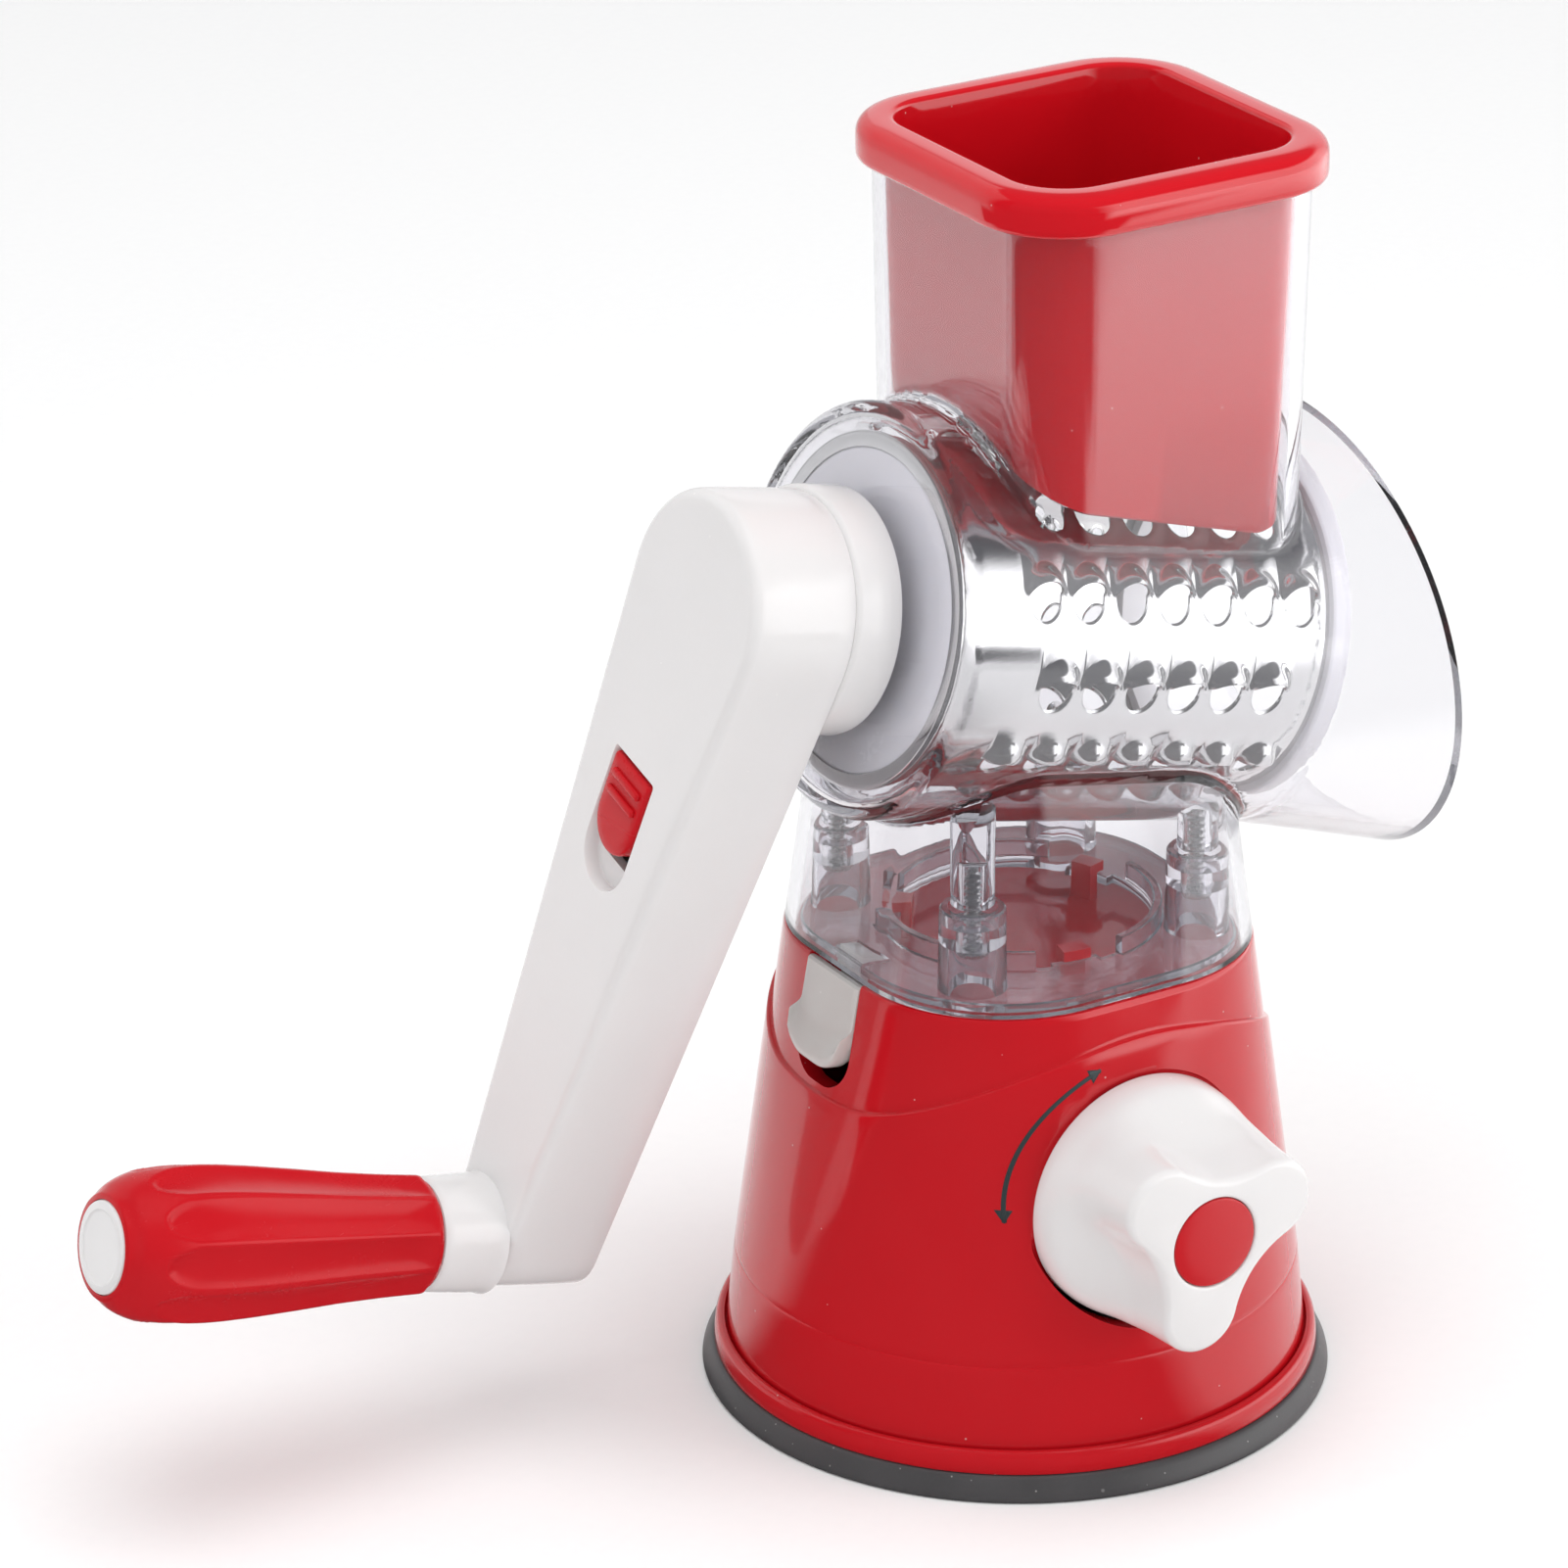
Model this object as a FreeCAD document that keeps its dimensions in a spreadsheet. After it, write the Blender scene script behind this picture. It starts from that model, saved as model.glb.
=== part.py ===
"""Hand cranked rotary vegetable shredder on a suction base, as separate sub-parts."""
import FreeCAD, Part
import math
import os
import Sketcher
from FreeCAD import Placement, Rotation, Vector

os.makedirs("parts", exist_ok=True)
doc = FreeCAD.newDocument("RotaryShredder")

# ---------------------------------------------------------------- driving dimensions
DIMENSIONS = {
    # suction foot and base
    "foot_radius": 65.0,
    "band_radius": 62.5,
    "band_bottom": 5.2,
    "band_top": 10.4,
    "wall_bottom_radius": 59.8,
    "step_radius": 57.2,
    "step_height": 26.8,
    "rim_height": 98.5,
    "rim_half": 43.5,
    "rim_corner": 33.0,
    "crown_step": 0.9,
    "crown_height": 91.3,
    "crown_radius": 75.0,
    "base_wall": 2.6,
    "deck_top": 95.5,
    "deck_thickness": 3.0,
    "post_circle": 47.0,
    "post_radius": 4.2,
    # clear body
    "clear_wall": 2.4,
    "skirt_half": 42.9,
    "skirt_corner": 32.0,
    "skirt_top_half": 33.7,
    "skirt_top_corner": 17.5,
    "skirt_top": 154.0,
    "axis_height": 165.8,
    "axis_tilt": 13.0,
    "housing_radius": 41.2,
    "housing_front": 40.1,
    "housing_back": 52.0,
    "mouth_radius": 50.5,
    "mouth_reach": 72.3,
    "mouth_height": 150.0,
    "mouth_lean": 8.0,
    "tube_offset": 15.7,
    "tube_half": 34.6,
    "tube_root_half": 33.3,
    "tube_corner": 13.0,
    "tube_top": 256.3,
    "tube_root": 166.0,
    "collar_radius": 10.5,
    "journal_radius": 7.5,
    # body plate
    "plate_thickness": 2.0,
    "ring_radius": 28.6,
    "ring_wall": 1.8,
    "ring_top": 104.6,
    "hook_radius": 24.4,
    "post_x": 26.5,
    "post_y": 24.5,
    "cup_radius": 6.4,
    "cup_top": 118.0,
    "boss_radius": 4.3,
    # pusher
    "lip_half": 38.7,
    "lip_corner": 19.5,
    "lip_height": 8.2,
    "pusher_half": 31.6,
    "pusher_foot_half": 30.2,
    "pusher_corner": 11.0,
    "pusher_wall": 2.2,
    # drum
    "drum_radius": 34.5,
    "drum_sheet": 0.6,
    "drum_front": 37.9,
    "drum_back": 50.0,
    "disc_radius": 32.0,
    "scoop_pitch": 10.3,
    "scoop_row": 204.0,
    "scoop_centre": 11.9,
    "scoop_radius": 3.4,
    "scoop_length": 6.4,
    "scoop_rise": 2.5,
    # crank
    "crank_radius": 148.0,
    "crank_angle": 13.0,
    "arm_face": 78.0,
    "arm_back": 55.0,
    "arm_top_radius": 23.5,
    "arm_end_radius": 11.2,
    "arm_wall": 2.4,
    "hub_cup_radius": 24.5,
    "hub_cup_end": 44.9,
    "grip_inner": 92.3,
    "grip_outer": 163.0,
    "grip_radius": 16.2,
    "grip_neck": 12.4,
    "spindle_radius": 4.0,
    "slot_width": 15.0,
    "slot_start": 36.5,
    "slot_end": 63.5,
    "button_length": 19.5,
    # suction knob
    "knob_offset": -2.0,
    "knob_height": 58.5,
    "knob_plane": 47.6,
    "knob_face": 74.8,
    "knob_radius": 25.3,
    "knob_lobe": 24.0,
    "knob_valley": 13.3,
    "knob_edge": 1.8,
    "knob_cap_radius": 9.6,
    "shaft_radius": 5.0,
    "cam_throw": 3.0,
    "cam_start": 42.5,
    "pin_radius": 2.5,
    # latch
    "latch_width": 19.2,
    "latch_slope": 10.9,
    # running clearance in every bearing
    "fit": 0.05,
}
sheet = doc.addObject("Spreadsheet::Sheet", "dims")
for row, (alias, value) in enumerate(DIMENSIONS.items(), start=1):
    sheet.set("A%d" % row, alias)
    sheet.set("B%d" % row, str(value))
    sheet.setAlias("B%d" % row, alias)
doc.recompute()


class Size:
    """A number together with the spreadsheet expression that it comes from."""

    def __init__(self, value, text=None):
        self.value = float(value)
        self.text = text if text is not None else repr(float(value))

    def join(self, other, sign, value):
        return Size(value, "(%s %s %s)" % (self.text, sign, other.text))

    def __add__(self, other):
        other = as_size(other)
        return self.join(other, "+", self.value + other.value)

    def __sub__(self, other):
        other = as_size(other)
        return self.join(other, "-", self.value - other.value)

    def __radd__(self, other):
        return as_size(other) + self

    def __rsub__(self, other):
        return as_size(other) - self

    def __mul__(self, number):
        return Size(self.value * number, "(%s * %s)" % (self.text, repr(float(number))))

    __rmul__ = __mul__

    def __neg__(self):
        return self * -1


def as_size(number):
    return number if isinstance(number, Size) else Size(number)


def dim(alias):
    return Size(DIMENSIONS[alias], "dims." + alias)


def bind(thing, prop, size):
    size = as_size(size)
    thing.setExpression(prop, size.text)


# ---------------------------------------------------------------- frames
TILT = DIMENSIONS["axis_tilt"]
# The drum frame: Z along the drum axis towards the outlet, X downwards, Y to the back.
DRUM = Placement(Vector(0, 0, DIMENSIONS["axis_height"]), Rotation(Vector(0, 1, 0), 90 + TILT))
# The crank frame: as the drum frame, turned so that X runs along the arm.
CRANK = DRUM.multiply(Placement(Vector(), Rotation(Vector(0, 0, 1), DIMENSIONS["crank_angle"])))
# The grip frame: the crank frame moved out to the grip's own axis.
GRIP = CRANK.multiply(Placement(Vector(DIMENSIONS["crank_radius"], 0, 0), Rotation()))
# The knob frame: Z points out of the front wall, X to the outlet side.
KNOB = Placement(Vector(DIMENSIONS["knob_offset"], 0, DIMENSIONS["knob_height"]),
                 Rotation(Vector(1, 0, 0), 90))
# The latch frame: Z runs up the slope of the wall under the crank, X points inwards.
LATCH = Placement(Vector(-DIMENSIONS["rim_half"], 0, DIMENSIONS["rim_height"]),
                  Rotation(Vector(0, 1, 0), DIMENSIONS["latch_slope"]))


# ---------------------------------------------------------------- modelling helpers
def new_body(name):
    body = doc.addObject("PartDesign::Body", name)
    body.Label = name
    return body


def new_sketch(body, plane="XY_Plane", offset=0, turn=None):
    """A sketch on one of the body's own planes, moved along its normal."""
    sketch = body.newObject("Sketcher::SketchObject", body.Name + "_sketch")
    role = [o for o in body.Origin.OriginFeatures if o.Role == plane][0]
    sketch.AttachmentSupport = [(role, "")]
    sketch.MapMode = "FlatFace"
    size = as_size(offset)
    sketch.AttachmentOffset = Placement(Vector(0, 0, size.value), turn or Rotation())
    if turn is None:
        bind(sketch, "AttachmentOffset.Base.z", size)
    return sketch


def pin_point(sketch, geometry, point, across, up):
    for kind, size in (("DistanceX", as_size(across)), ("DistanceY", as_size(up))):
        mark = sketch.addConstraint(Sketcher.Constraint(kind, -1, 1, geometry, point, size.value))
        sketch.setExpression("Constraints[%d]" % mark, size.text)


def draw_polygon(sketch, corners):
    """A closed outline of straight lines, each corner bound to its sizes."""
    points = [Vector(as_size(x).value, as_size(y).value, 0) for x, y in corners]
    count = len(points)
    for i in range(count):
        sketch.addGeometry(Part.LineSegment(points[i], points[(i + 1) % count]), False)
    for i in range(count):
        sketch.addConstraint(Sketcher.Constraint("Coincident", i, 2, (i + 1) % count, 1))
    for i, (x, y) in enumerate(corners):
        pin_point(sketch, i, 1, x, y)


def draw_circle(sketch, radius, across=0, up=0):
    size = as_size(radius)
    centre = Vector(as_size(across).value, as_size(up).value, 0)
    mark = sketch.addGeometry(Part.Circle(centre, Vector(0, 0, 1), size.value), False)
    rule = sketch.addConstraint(Sketcher.Constraint("Radius", mark, size.value))
    sketch.setExpression("Constraints[%d]" % rule, size.text)
    pin_point(sketch, mark, 3, across, up)


def draw_rounded(sketch, half_x, half_y, corner, across=0, up=0):
    """A rectangle with tangent corner arcs, centred on a point."""
    half_x, half_y, corner = as_size(half_x), as_size(half_y), as_size(corner)
    across, up = as_size(across), as_size(up)
    signs = ((1, 1), (-1, 1), (-1, -1), (1, -1))
    centres = [(across + (half_x - corner) * sx, up + (half_y - corner) * sy) for sx, sy in signs]
    first = sketch.GeometryCount
    for i, (x, y) in enumerate(centres):
        circle = Part.Circle(Vector(x.value, y.value, 0), Vector(0, 0, 1), corner.value)
        start = math.radians(90 * i)
        sketch.addGeometry(Part.ArcOfCircle(circle, start, start + math.pi / 2), False)
    for i in range(4):
        ends = [sketch.Geometry[first + i].EndPoint, sketch.Geometry[first + (i + 1) % 4].StartPoint]
        sketch.addGeometry(Part.LineSegment(*ends), False)
    for i in range(4):
        sketch.addConstraint(Sketcher.Constraint("Tangent", first + i, 2, first + 4 + i, 1))
        sketch.addConstraint(Sketcher.Constraint("Tangent", first + 4 + i, 2, first + (i + 1) % 4, 1))
        rule = sketch.addConstraint(Sketcher.Constraint("Radius", first + i, corner.value))
        sketch.setExpression("Constraints[%d]" % rule, corner.text)
        pin_point(sketch, first + i, 3, *centres[i])


def draw_taper(sketch, length, radius, end_radius):
    """Two arcs joined by their common tangents: the outline of the crank arm."""
    length, radius, end_radius = as_size(length), as_size(radius), as_size(end_radius)
    lean = math.acos((radius.value - end_radius.value) / length.value)
    big = Part.Circle(Vector(0, 0, 0), Vector(0, 0, 1), radius.value)
    small = Part.Circle(Vector(length.value, 0, 0), Vector(0, 0, 1), end_radius.value)
    sketch.addGeometry(Part.ArcOfCircle(big, lean, 2 * math.pi - lean), False)
    sketch.addGeometry(Part.ArcOfCircle(small, -lean, lean), False)
    arcs = sketch.Geometry[0], sketch.Geometry[1]
    sketch.addGeometry(Part.LineSegment(arcs[0].EndPoint, arcs[1].StartPoint), False)
    sketch.addGeometry(Part.LineSegment(arcs[1].EndPoint, arcs[0].StartPoint), False)
    for before, after in ((0, 2), (2, 1), (1, 3), (3, 0)):
        sketch.addConstraint(Sketcher.Constraint("Tangent", before, 2, after, 1))
    for arc, size, place in ((0, radius, Size(0)), (1, end_radius, length)):
        rule = sketch.addConstraint(Sketcher.Constraint("Radius", arc, size.value))
        sketch.setExpression("Constraints[%d]" % rule, size.text)
        pin_point(sketch, arc, 3, place, 0)


def pad(body, sketch, length, reverse=False):
    feature = body.newObject("PartDesign::Pad", body.Name + "_pad")
    feature.Profile = sketch
    feature.Reversed = reverse
    feature.Length = as_size(length).value
    bind(feature, "Length", length)
    return feature


def pocket(body, sketch, length, reverse=False):
    feature = body.newObject("PartDesign::Pocket", body.Name + "_pocket")
    feature.Profile = sketch
    feature.Reversed = reverse
    feature.Length = as_size(length).value
    bind(feature, "Length", length)
    return feature


def revolve(body, sketch):
    feature = body.newObject("PartDesign::Revolution", body.Name + "_revolution")
    feature.Profile = sketch
    feature.ReferenceAxis = (sketch, ["V_Axis"])
    feature.Angle = 360.0
    return feature


def loft(body, sections, cut=False):
    kind = "PartDesign::SubtractiveLoft" if cut else "PartDesign::AdditiveLoft"
    feature = body.newObject(kind, body.Name + "_loft")
    feature.Profile = sections[0]
    feature.Sections = sections[1:]
    feature.Ruled = False
    return feature


def turned(name, corners, place=None):
    """A body of revolution from (radius, height) corners about its own Z axis."""
    body = new_body(name)
    sketch = new_sketch(body, "XZ_Plane")
    draw_polygon(sketch, corners)
    revolve(body, sketch)
    if place:
        body.Placement = place
    return body


def prism(name, outline, bottom, length, place=None):
    """A straight pad; outline draws on the sketch that it is given."""
    body = new_body(name)
    sketch = new_sketch(body, offset=bottom)
    outline(sketch)
    pad(body, sketch, length)
    if place:
        body.Placement = place
    return body


def cylinder(name, radius, length, base=(0, 0, 0), direction=(0, 0, 1), frame=None):
    tool = doc.addObject("Part::Cylinder", name)
    bind(tool, "Radius", radius)
    bind(tool, "Height", length)
    place = Placement(Vector(*base), Rotation(Vector(0, 0, 1), Vector(*direction)))
    tool.Placement = frame.multiply(place) if frame else place
    return tool


def block(name, low, high, frame=None):
    tool = doc.addObject("Part::Box", name)
    sides = [as_size(b) - as_size(a) for a, b in zip(low, high)]
    for prop, side in zip(("Length", "Width", "Height"), sides):
        bind(tool, prop, side)
    place = Placement(Vector(*[as_size(a).value for a in low]), Rotation())
    tool.Placement = frame.multiply(place) if frame else place
    return tool


def fused(name, pieces):
    thing = doc.addObject("Part::MultiFuse", name)
    thing.Shapes = pieces
    thing.Label = name
    return thing


def cut(name, base, tools):
    tool = tools[0] if len(tools) == 1 else fused(name + "_tools", tools)
    thing = doc.addObject("Part::Cut", name)
    thing.Base = base
    thing.Tool = tool
    thing.Label = name
    return thing


def common(name, pieces):
    thing = doc.addObject("Part::MultiCommon", name)
    thing.Shapes = pieces
    return thing


def around(count, radius, start=0.0):
    for i in range(count):
        angle = math.radians(start + 360.0 * i / count)
        yield radius * math.cos(angle), radius * math.sin(angle)


NODES = {}


def keep(name, thing):
    thing.Label = name
    NODES[name] = thing
    return thing


# ---------------------------------------------------------------- suction foot
def make_suction_cup():
    """One rubber moulding: contact rim, thin diaphragm and the hub round the pull rod."""
    outer, band = dim("foot_radius"), dim("band_radius")
    return turned("suction_cup", [
        (4.2, 8.0), (4.2, 5.4), (9.2, 5.4), (9.2, 3.0), (0, 3.0), (0, 1.6), (14, 1.6),
        (22, 1.0), (outer - 9, 0.8), (outer - 7, 0.0), (outer - 0.4, 0.0), (outer, 0.8),
        (band + 0.1, dim("band_bottom") - 0.1), (outer - 6.2, dim("band_bottom") - 0.1),
        (outer - 6.2, 8.2), (outer - 7.6, 8.2), (outer - 7.6, 3.2), (22, 3.2), (14, 4.4),
        (12, 8.0)])


def make_cup_retainer():
    """The plate that clamps the cup, with a chamber for its hub and the rod's guide."""
    bore = dim("spindle_radius") + dim("fit")
    plate = turned("retainer_form", [
        (14.0, 8.4), (57.0, 8.4), (57.0, 11.0), (17.0, 11.0), (16.2, 15.6), (9.0, 15.6),
        (7.4, 24.0), (bore, 24.0), (bore, 13.0), (14.0, 13.0)])
    ribs = [block("retainer_rib_%d" % i, (15, -0.8, 10.5), (42, 0.8, 14.5),
                  Placement(Vector(), Rotation(Vector(0, 0, 1), 60 * i + 30))) for i in range(6)]
    holes = [cylinder("retainer_hole_%d" % i, 1.9, 8, (x, y, 6))
             for i, (x, y) in enumerate(around(3, DIMENSIONS["post_circle"], 90))]
    return cut("cup_retainer", fused("retainer_ribbed", [plate] + ribs), holes)


def make_base_screws():
    """Three pan head screws, as separate solids in one group."""
    screws = []
    for i, (x, y) in enumerate(around(3, DIMENSIONS["post_circle"], 90)):
        head = cylinder("base_screw_head_%d" % i, 3.2, 1.9, (x, y, 6.4))
        shank = cylinder("base_screw_shank_%d" % i, 1.5, 12, (x, y, 8.0))
        cross = block("base_screw_slot_%d" % i, (x - 2.2, y - 0.35, 6.0), (x + 2.2, y + 0.35, 7.1))
        screws.append(cut("base_screw_%d" % i, fused("base_screw_form_%d" % i, [head, shank]), [cross]))
    return group("base_screws", screws)


def group(name, things):
    """Identical fasteners kept as one compound of separate solids."""
    doc.recompute()
    thing = doc.addObject("Part::Feature", name)
    thing.Shape = Part.Compound([t.Shape.copy() for t in things])
    return thing


# ---------------------------------------------------------------- base
BAYONET_ANGLES = (-97.0, 23.0, 143.0)


def base_loft(name, grow, bottom, top):
    """The base's wall form: round at the step line, a rounded square at the rim."""
    body = new_body(name)
    low = new_sketch(body, offset=bottom)
    draw_circle(low, dim("step_radius") + grow)
    high = new_sketch(body, offset=top)
    draw_rounded(high, dim("rim_half") + grow, dim("rim_half") + grow, dim("rim_corner") + grow)
    loft(body, [low, high])
    return body


def make_base_shell():
    step, rim, wall = dim("step_height"), dim("rim_height"), dim("base_wall")
    upper = base_loft("base_upper_form", Size(0), step, rim)
    lower = base_loft("base_lower_form", dim("crown_step"), step, rim)
    crown = cylinder("crown_saddle", dim("crown_radius"), 160,
                     (0, 80, DIMENSIONS["crown_height"] - DIMENSIONS["crown_radius"]), (0, -1, 0))
    lower = common("base_lower", [lower, crown])
    foot = turned("base_foot", [
        (45, dim("band_bottom") + 2.4), (dim("wall_bottom_radius"), dim("band_bottom") + 2.4),
        (dim("wall_bottom_radius"), dim("band_top") - 0.6), (dim("wall_bottom_radius") - 0.2, 12.5),
        (dim("step_radius") + 0.9, step), (45, step)])
    band = turned("base_band", [
        (55, dim("band_bottom")), (dim("band_radius"), dim("band_bottom")),
        (dim("band_radius") - 0.4, dim("band_top") - 1.4), (dim("band_radius") - 1.2, dim("band_top") - 0.4),
        (dim("wall_bottom_radius") + 0.5, dim("band_top") - 0.4),
        (dim("wall_bottom_radius") + 0.3, dim("band_bottom") + 3.4), (55, dim("band_bottom") + 3.4)])
    outside = fused("base_outside", [upper, lower, foot, band])
    room = base_loft("base_room_form", -wall, step, dim("deck_top") - dim("deck_thickness"))
    room_foot = turned("base_room_foot", [
        (0, 4), (dim("foot_radius") - 6.0, 4), (dim("foot_radius") - 6.0, 8.3), (57.4, 8.5),
        (57.4, 11.2), (dim("step_radius") - wall, step + 0.01), (0, step + 0.01)])
    tray = prism("base_tray", lambda s: draw_rounded(s, dim("rim_half") - 2.4, dim("rim_half") - 2.4,
                                                     dim("rim_corner") - 2.4), dim("deck_top"), 6)
    shell = cut("base_walls", outside, [room, room_foot, tray])
    # three hooks on the deck that the clear body twists under
    reach = dim("hook_radius")
    hooks = []
    for i, angle in enumerate(BAYONET_ANGLES):
        turn = Placement(Vector(), Rotation(Vector(0, 0, 1), angle))
        hooks.append(block("base_hook_stem_%d" % i, (reach - 2.2, -6, 95.0), (reach, 6, 103.2), turn))
        hooks.append(block("base_hook_head_%d" % i, (reach - 0.5, -6, 101.1), (reach + 2.0, 6, 103.2), turn))
    posts = [cylinder("base_post_%d" % i, dim("post_radius"), 55, (x, y, 11.1))
             for i, (x, y) in enumerate(around(3, DIMENSIONS["post_circle"], 90))]
    pilot = [cylinder("base_pilot_%d" % i, 1.55, 14, (x, y, 10))
             for i, (x, y) in enumerate(around(3, DIMENSIONS["post_circle"], 90))]
    # long bush for the knob shaft, hung from the deck by a web
    back = dim("knob_plane") - 0.5
    bush = cylinder("knob_bush", 8.5, back - 14, (0, 0, 14), frame=KNOB)
    pad_disc = cylinder("knob_pad", 24.0, 3.0, (0, 0, back.value - 3.0), frame=KNOB)
    web = block("knob_web", (dim("knob_offset") - 1.5, -44, 62), (dim("knob_offset") + 1.5, -14, 94))
    knob_seat = cylinder("knob_seat", dim("knob_radius") + 0.7, 12, (0, 0, back.value), frame=KNOB)
    shaft_hole = cylinder("shaft_hole", dim("shaft_radius") + dim("fit"), 60, (0, 0, 10), frame=KNOB)
    # latch slot in the wall under the crank, with the shelf for its spring
    half = dim("latch_width") * 0.5 + 0.25
    slot = new_body("latch_slot_form")
    slot_sketch = new_sketch(slot, "YZ_Plane", -6)
    draw_rounded(slot_sketch, half, 18.5, 9.2, 0, -5.5)
    pad(slot, slot_sketch, 14.6)
    slot.Placement = LATCH
    shell = cut("base_slotted", shell, [slot])
    shelf = block("latch_shelf", (-44.4, -6, 76.5), (-34, 6, 79.2))
    shelf_ribs = [block("latch_shelf_foot", (-50, -1, 58), (-36, 1, 73)),
                  block("latch_shelf_rib", (-44.4, -1, 72.5), (-36, 1, 76.8))]
    inside = common("base_inside", [fused("base_inside_parts", posts + [bush, web, shelf] + shelf_ribs),
                                    base_loft("base_inside_limit", -wall * 0.5, step, rim)])
    low_posts = [cylinder("base_post_low_%d" % i, dim("post_radius"), 18, (x, y, 11.1))
                 for i, (x, y) in enumerate(around(3, DIMENSIONS["post_circle"], 90))]
    solid = fused("base_solid", [shell, pad_disc, inside] + hooks + low_posts)
    return cut("base_shell", solid, [knob_seat, shaft_hole] + pilot)


# ---------------------------------------------------------------- suction knob and lift
KNOB_LOBE_ANGLE = 20.0
# height over the knob's back plane, lobe, valley and tip radius of each section
KNOB_SECTIONS = ((7.5, 24.9, 24.2, 20.0), (12.0, 24.8, 19.4, 13.0), (17.0, 24.4, 15.7, 10.0))


def star_outline(sketch, lobe, valley, tip):
    """Three round lobes joined by shallow sides, all arcs tangent."""
    reach = lobe - tip
    side = (reach ** 2 + valley ** 2 - reach * valley - tip ** 2) / (2 * tip + reach - 2 * valley)
    far = side + valley
    points = []
    for i in range(3):
        lobe_angle = math.radians(KNOB_LOBE_ANGLE + 120 * i)
        side_angle = lobe_angle + math.radians(60)
        lobe_centre = Vector(reach * math.cos(lobe_angle), reach * math.sin(lobe_angle), 0)
        side_centre = Vector(far * math.cos(side_angle), far * math.sin(side_angle), 0)
        before = Vector(far * math.cos(side_angle - math.radians(120)),
                        far * math.sin(side_angle - math.radians(120)), 0)
        enter = lobe_centre + (before - lobe_centre) * (tip / (tip + side))
        leave = lobe_centre + (side_centre - lobe_centre) * (tip / (tip + side))
        top = Vector(lobe * math.cos(lobe_angle), lobe * math.sin(lobe_angle), 0)
        hollow = Vector(valley * math.cos(side_angle), valley * math.sin(side_angle), 0)
        points.append((enter, top, leave, hollow))
    for i in range(3):
        enter, top, leave, hollow = points[i]
        following = points[(i + 1) % 3][0]
        sketch.addGeometry(Part.Arc(enter, top, leave), False)
        sketch.addGeometry(Part.Arc(leave, hollow, following), False)


def make_knob():
    """Round skirt that runs up into a three-lobed grip with scooped sides."""
    plane, face = dim("knob_plane"), dim("knob_face")
    body = new_body("knob_form")
    disc = new_sketch(body, "XZ_Plane")
    draw_polygon(disc, [(0, plane), (dim("knob_radius"), plane), (dim("knob_radius") - 0.3, plane + 6.5),
                        (dim("knob_radius") - 1.6, plane + 9.0), (0, plane + 9.0)])
    revolve(body, disc)
    sections = []
    for up, lobe, valley, tip in KNOB_SECTIONS:
        sections.append(new_sketch(body, offset=plane + up))
        star_outline(sections[-1], lobe, valley, tip)
    edge = DIMENSIONS["knob_edge"]
    stars = []
    for up, inset in ((-edge, 0.0), (-edge * 0.3, edge * 0.3), (0.0, edge)):
        stars.append(new_sketch(body, offset=face + up))
        star_outline(stars[-1], DIMENSIONS["knob_lobe"] - inset, DIMENSIONS["knob_valley"] - inset, 8.5 - inset)
    loft(body, sections + stars[:1])
    loft(body, stars[:2])
    loft(body, stars[1:])
    body.Placement = KNOB
    hollow = turned("knob_hollow", [(8.5, plane - 1), (dim("knob_radius") - 3, plane - 1),
                                    (dim("knob_radius") - 3.4, plane + 6), (13, plane + 8), (8.5, plane + 8)],
                    KNOB)
    socket = cylinder("knob_socket", dim("shaft_radius") + 0.02, 14.5, (0, 0, plane.value - 1), frame=KNOB)
    recess = cylinder("knob_recess", dim("knob_cap_radius"), 6, (0, 0, face.value - 4.4), frame=KNOB)
    head_room = cylinder("knob_head_room", 4.6, 8, (0, 0, face.value - 7.4), frame=KNOB)
    clearance = cylinder("knob_screw_hole", 2.1, 20, (0, 0, plane.value + 10), frame=KNOB)
    return cut("knob", body, [hollow, socket, recess, head_room, clearance])


def make_knob_cap():
    face = dim("knob_face")
    return turned("knob_cap", [
        (0, face - 2.2), (dim("knob_cap_radius") - 0.1, face - 2.2), (dim("knob_cap_radius") - 0.1, face - 0.2),
        (dim("knob_cap_radius") - 0.8, face), (0, face)], KNOB)


def make_knob_screw():
    face = dim("knob_face")
    form = turned("knob_screw_form", [
        (0, 49), (1.75, 49), (1.75, face - 7.4), (4.0, face - 7.4), (4.0, face - 6.0), (2.6, face - 5.0),
        (0, face - 5.0)], KNOB)
    slots = [block("knob_screw_slot_%d" % i, (-2.2, -0.4, face - 6.4), (2.2, 0.4, face - 4.5),
                   KNOB.multiply(Placement(Vector(), Rotation(Vector(0, 0, 1), 90 * i)))) for i in range(2)]
    return cut("knob_screw", form, slots)


def make_cam_shaft():
    """Shaft, thrust flange and the eccentric pin that lifts the rod."""
    radius, plane = dim("shaft_radius"), dim("knob_plane")
    shaft = turned("cam_shaft_form", [
        (0, 7), (7.6, 7), (7.6, 13.8), (radius, 13.8), (radius, plane + 13.4), (1.8, plane + 13.4),
        (1.8, plane), (0, plane)], KNOB)
    angle = math.radians(180 + DIMENSIONS["cam_start"])
    throw = DIMENSIONS["cam_throw"]
    pin = cylinder("cam_pin", dim("pin_radius"), 12.5,
                   (throw * math.cos(angle), throw * math.sin(angle), -5), frame=KNOB)
    return fused("cam_shaft", [shaft, pin])


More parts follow.
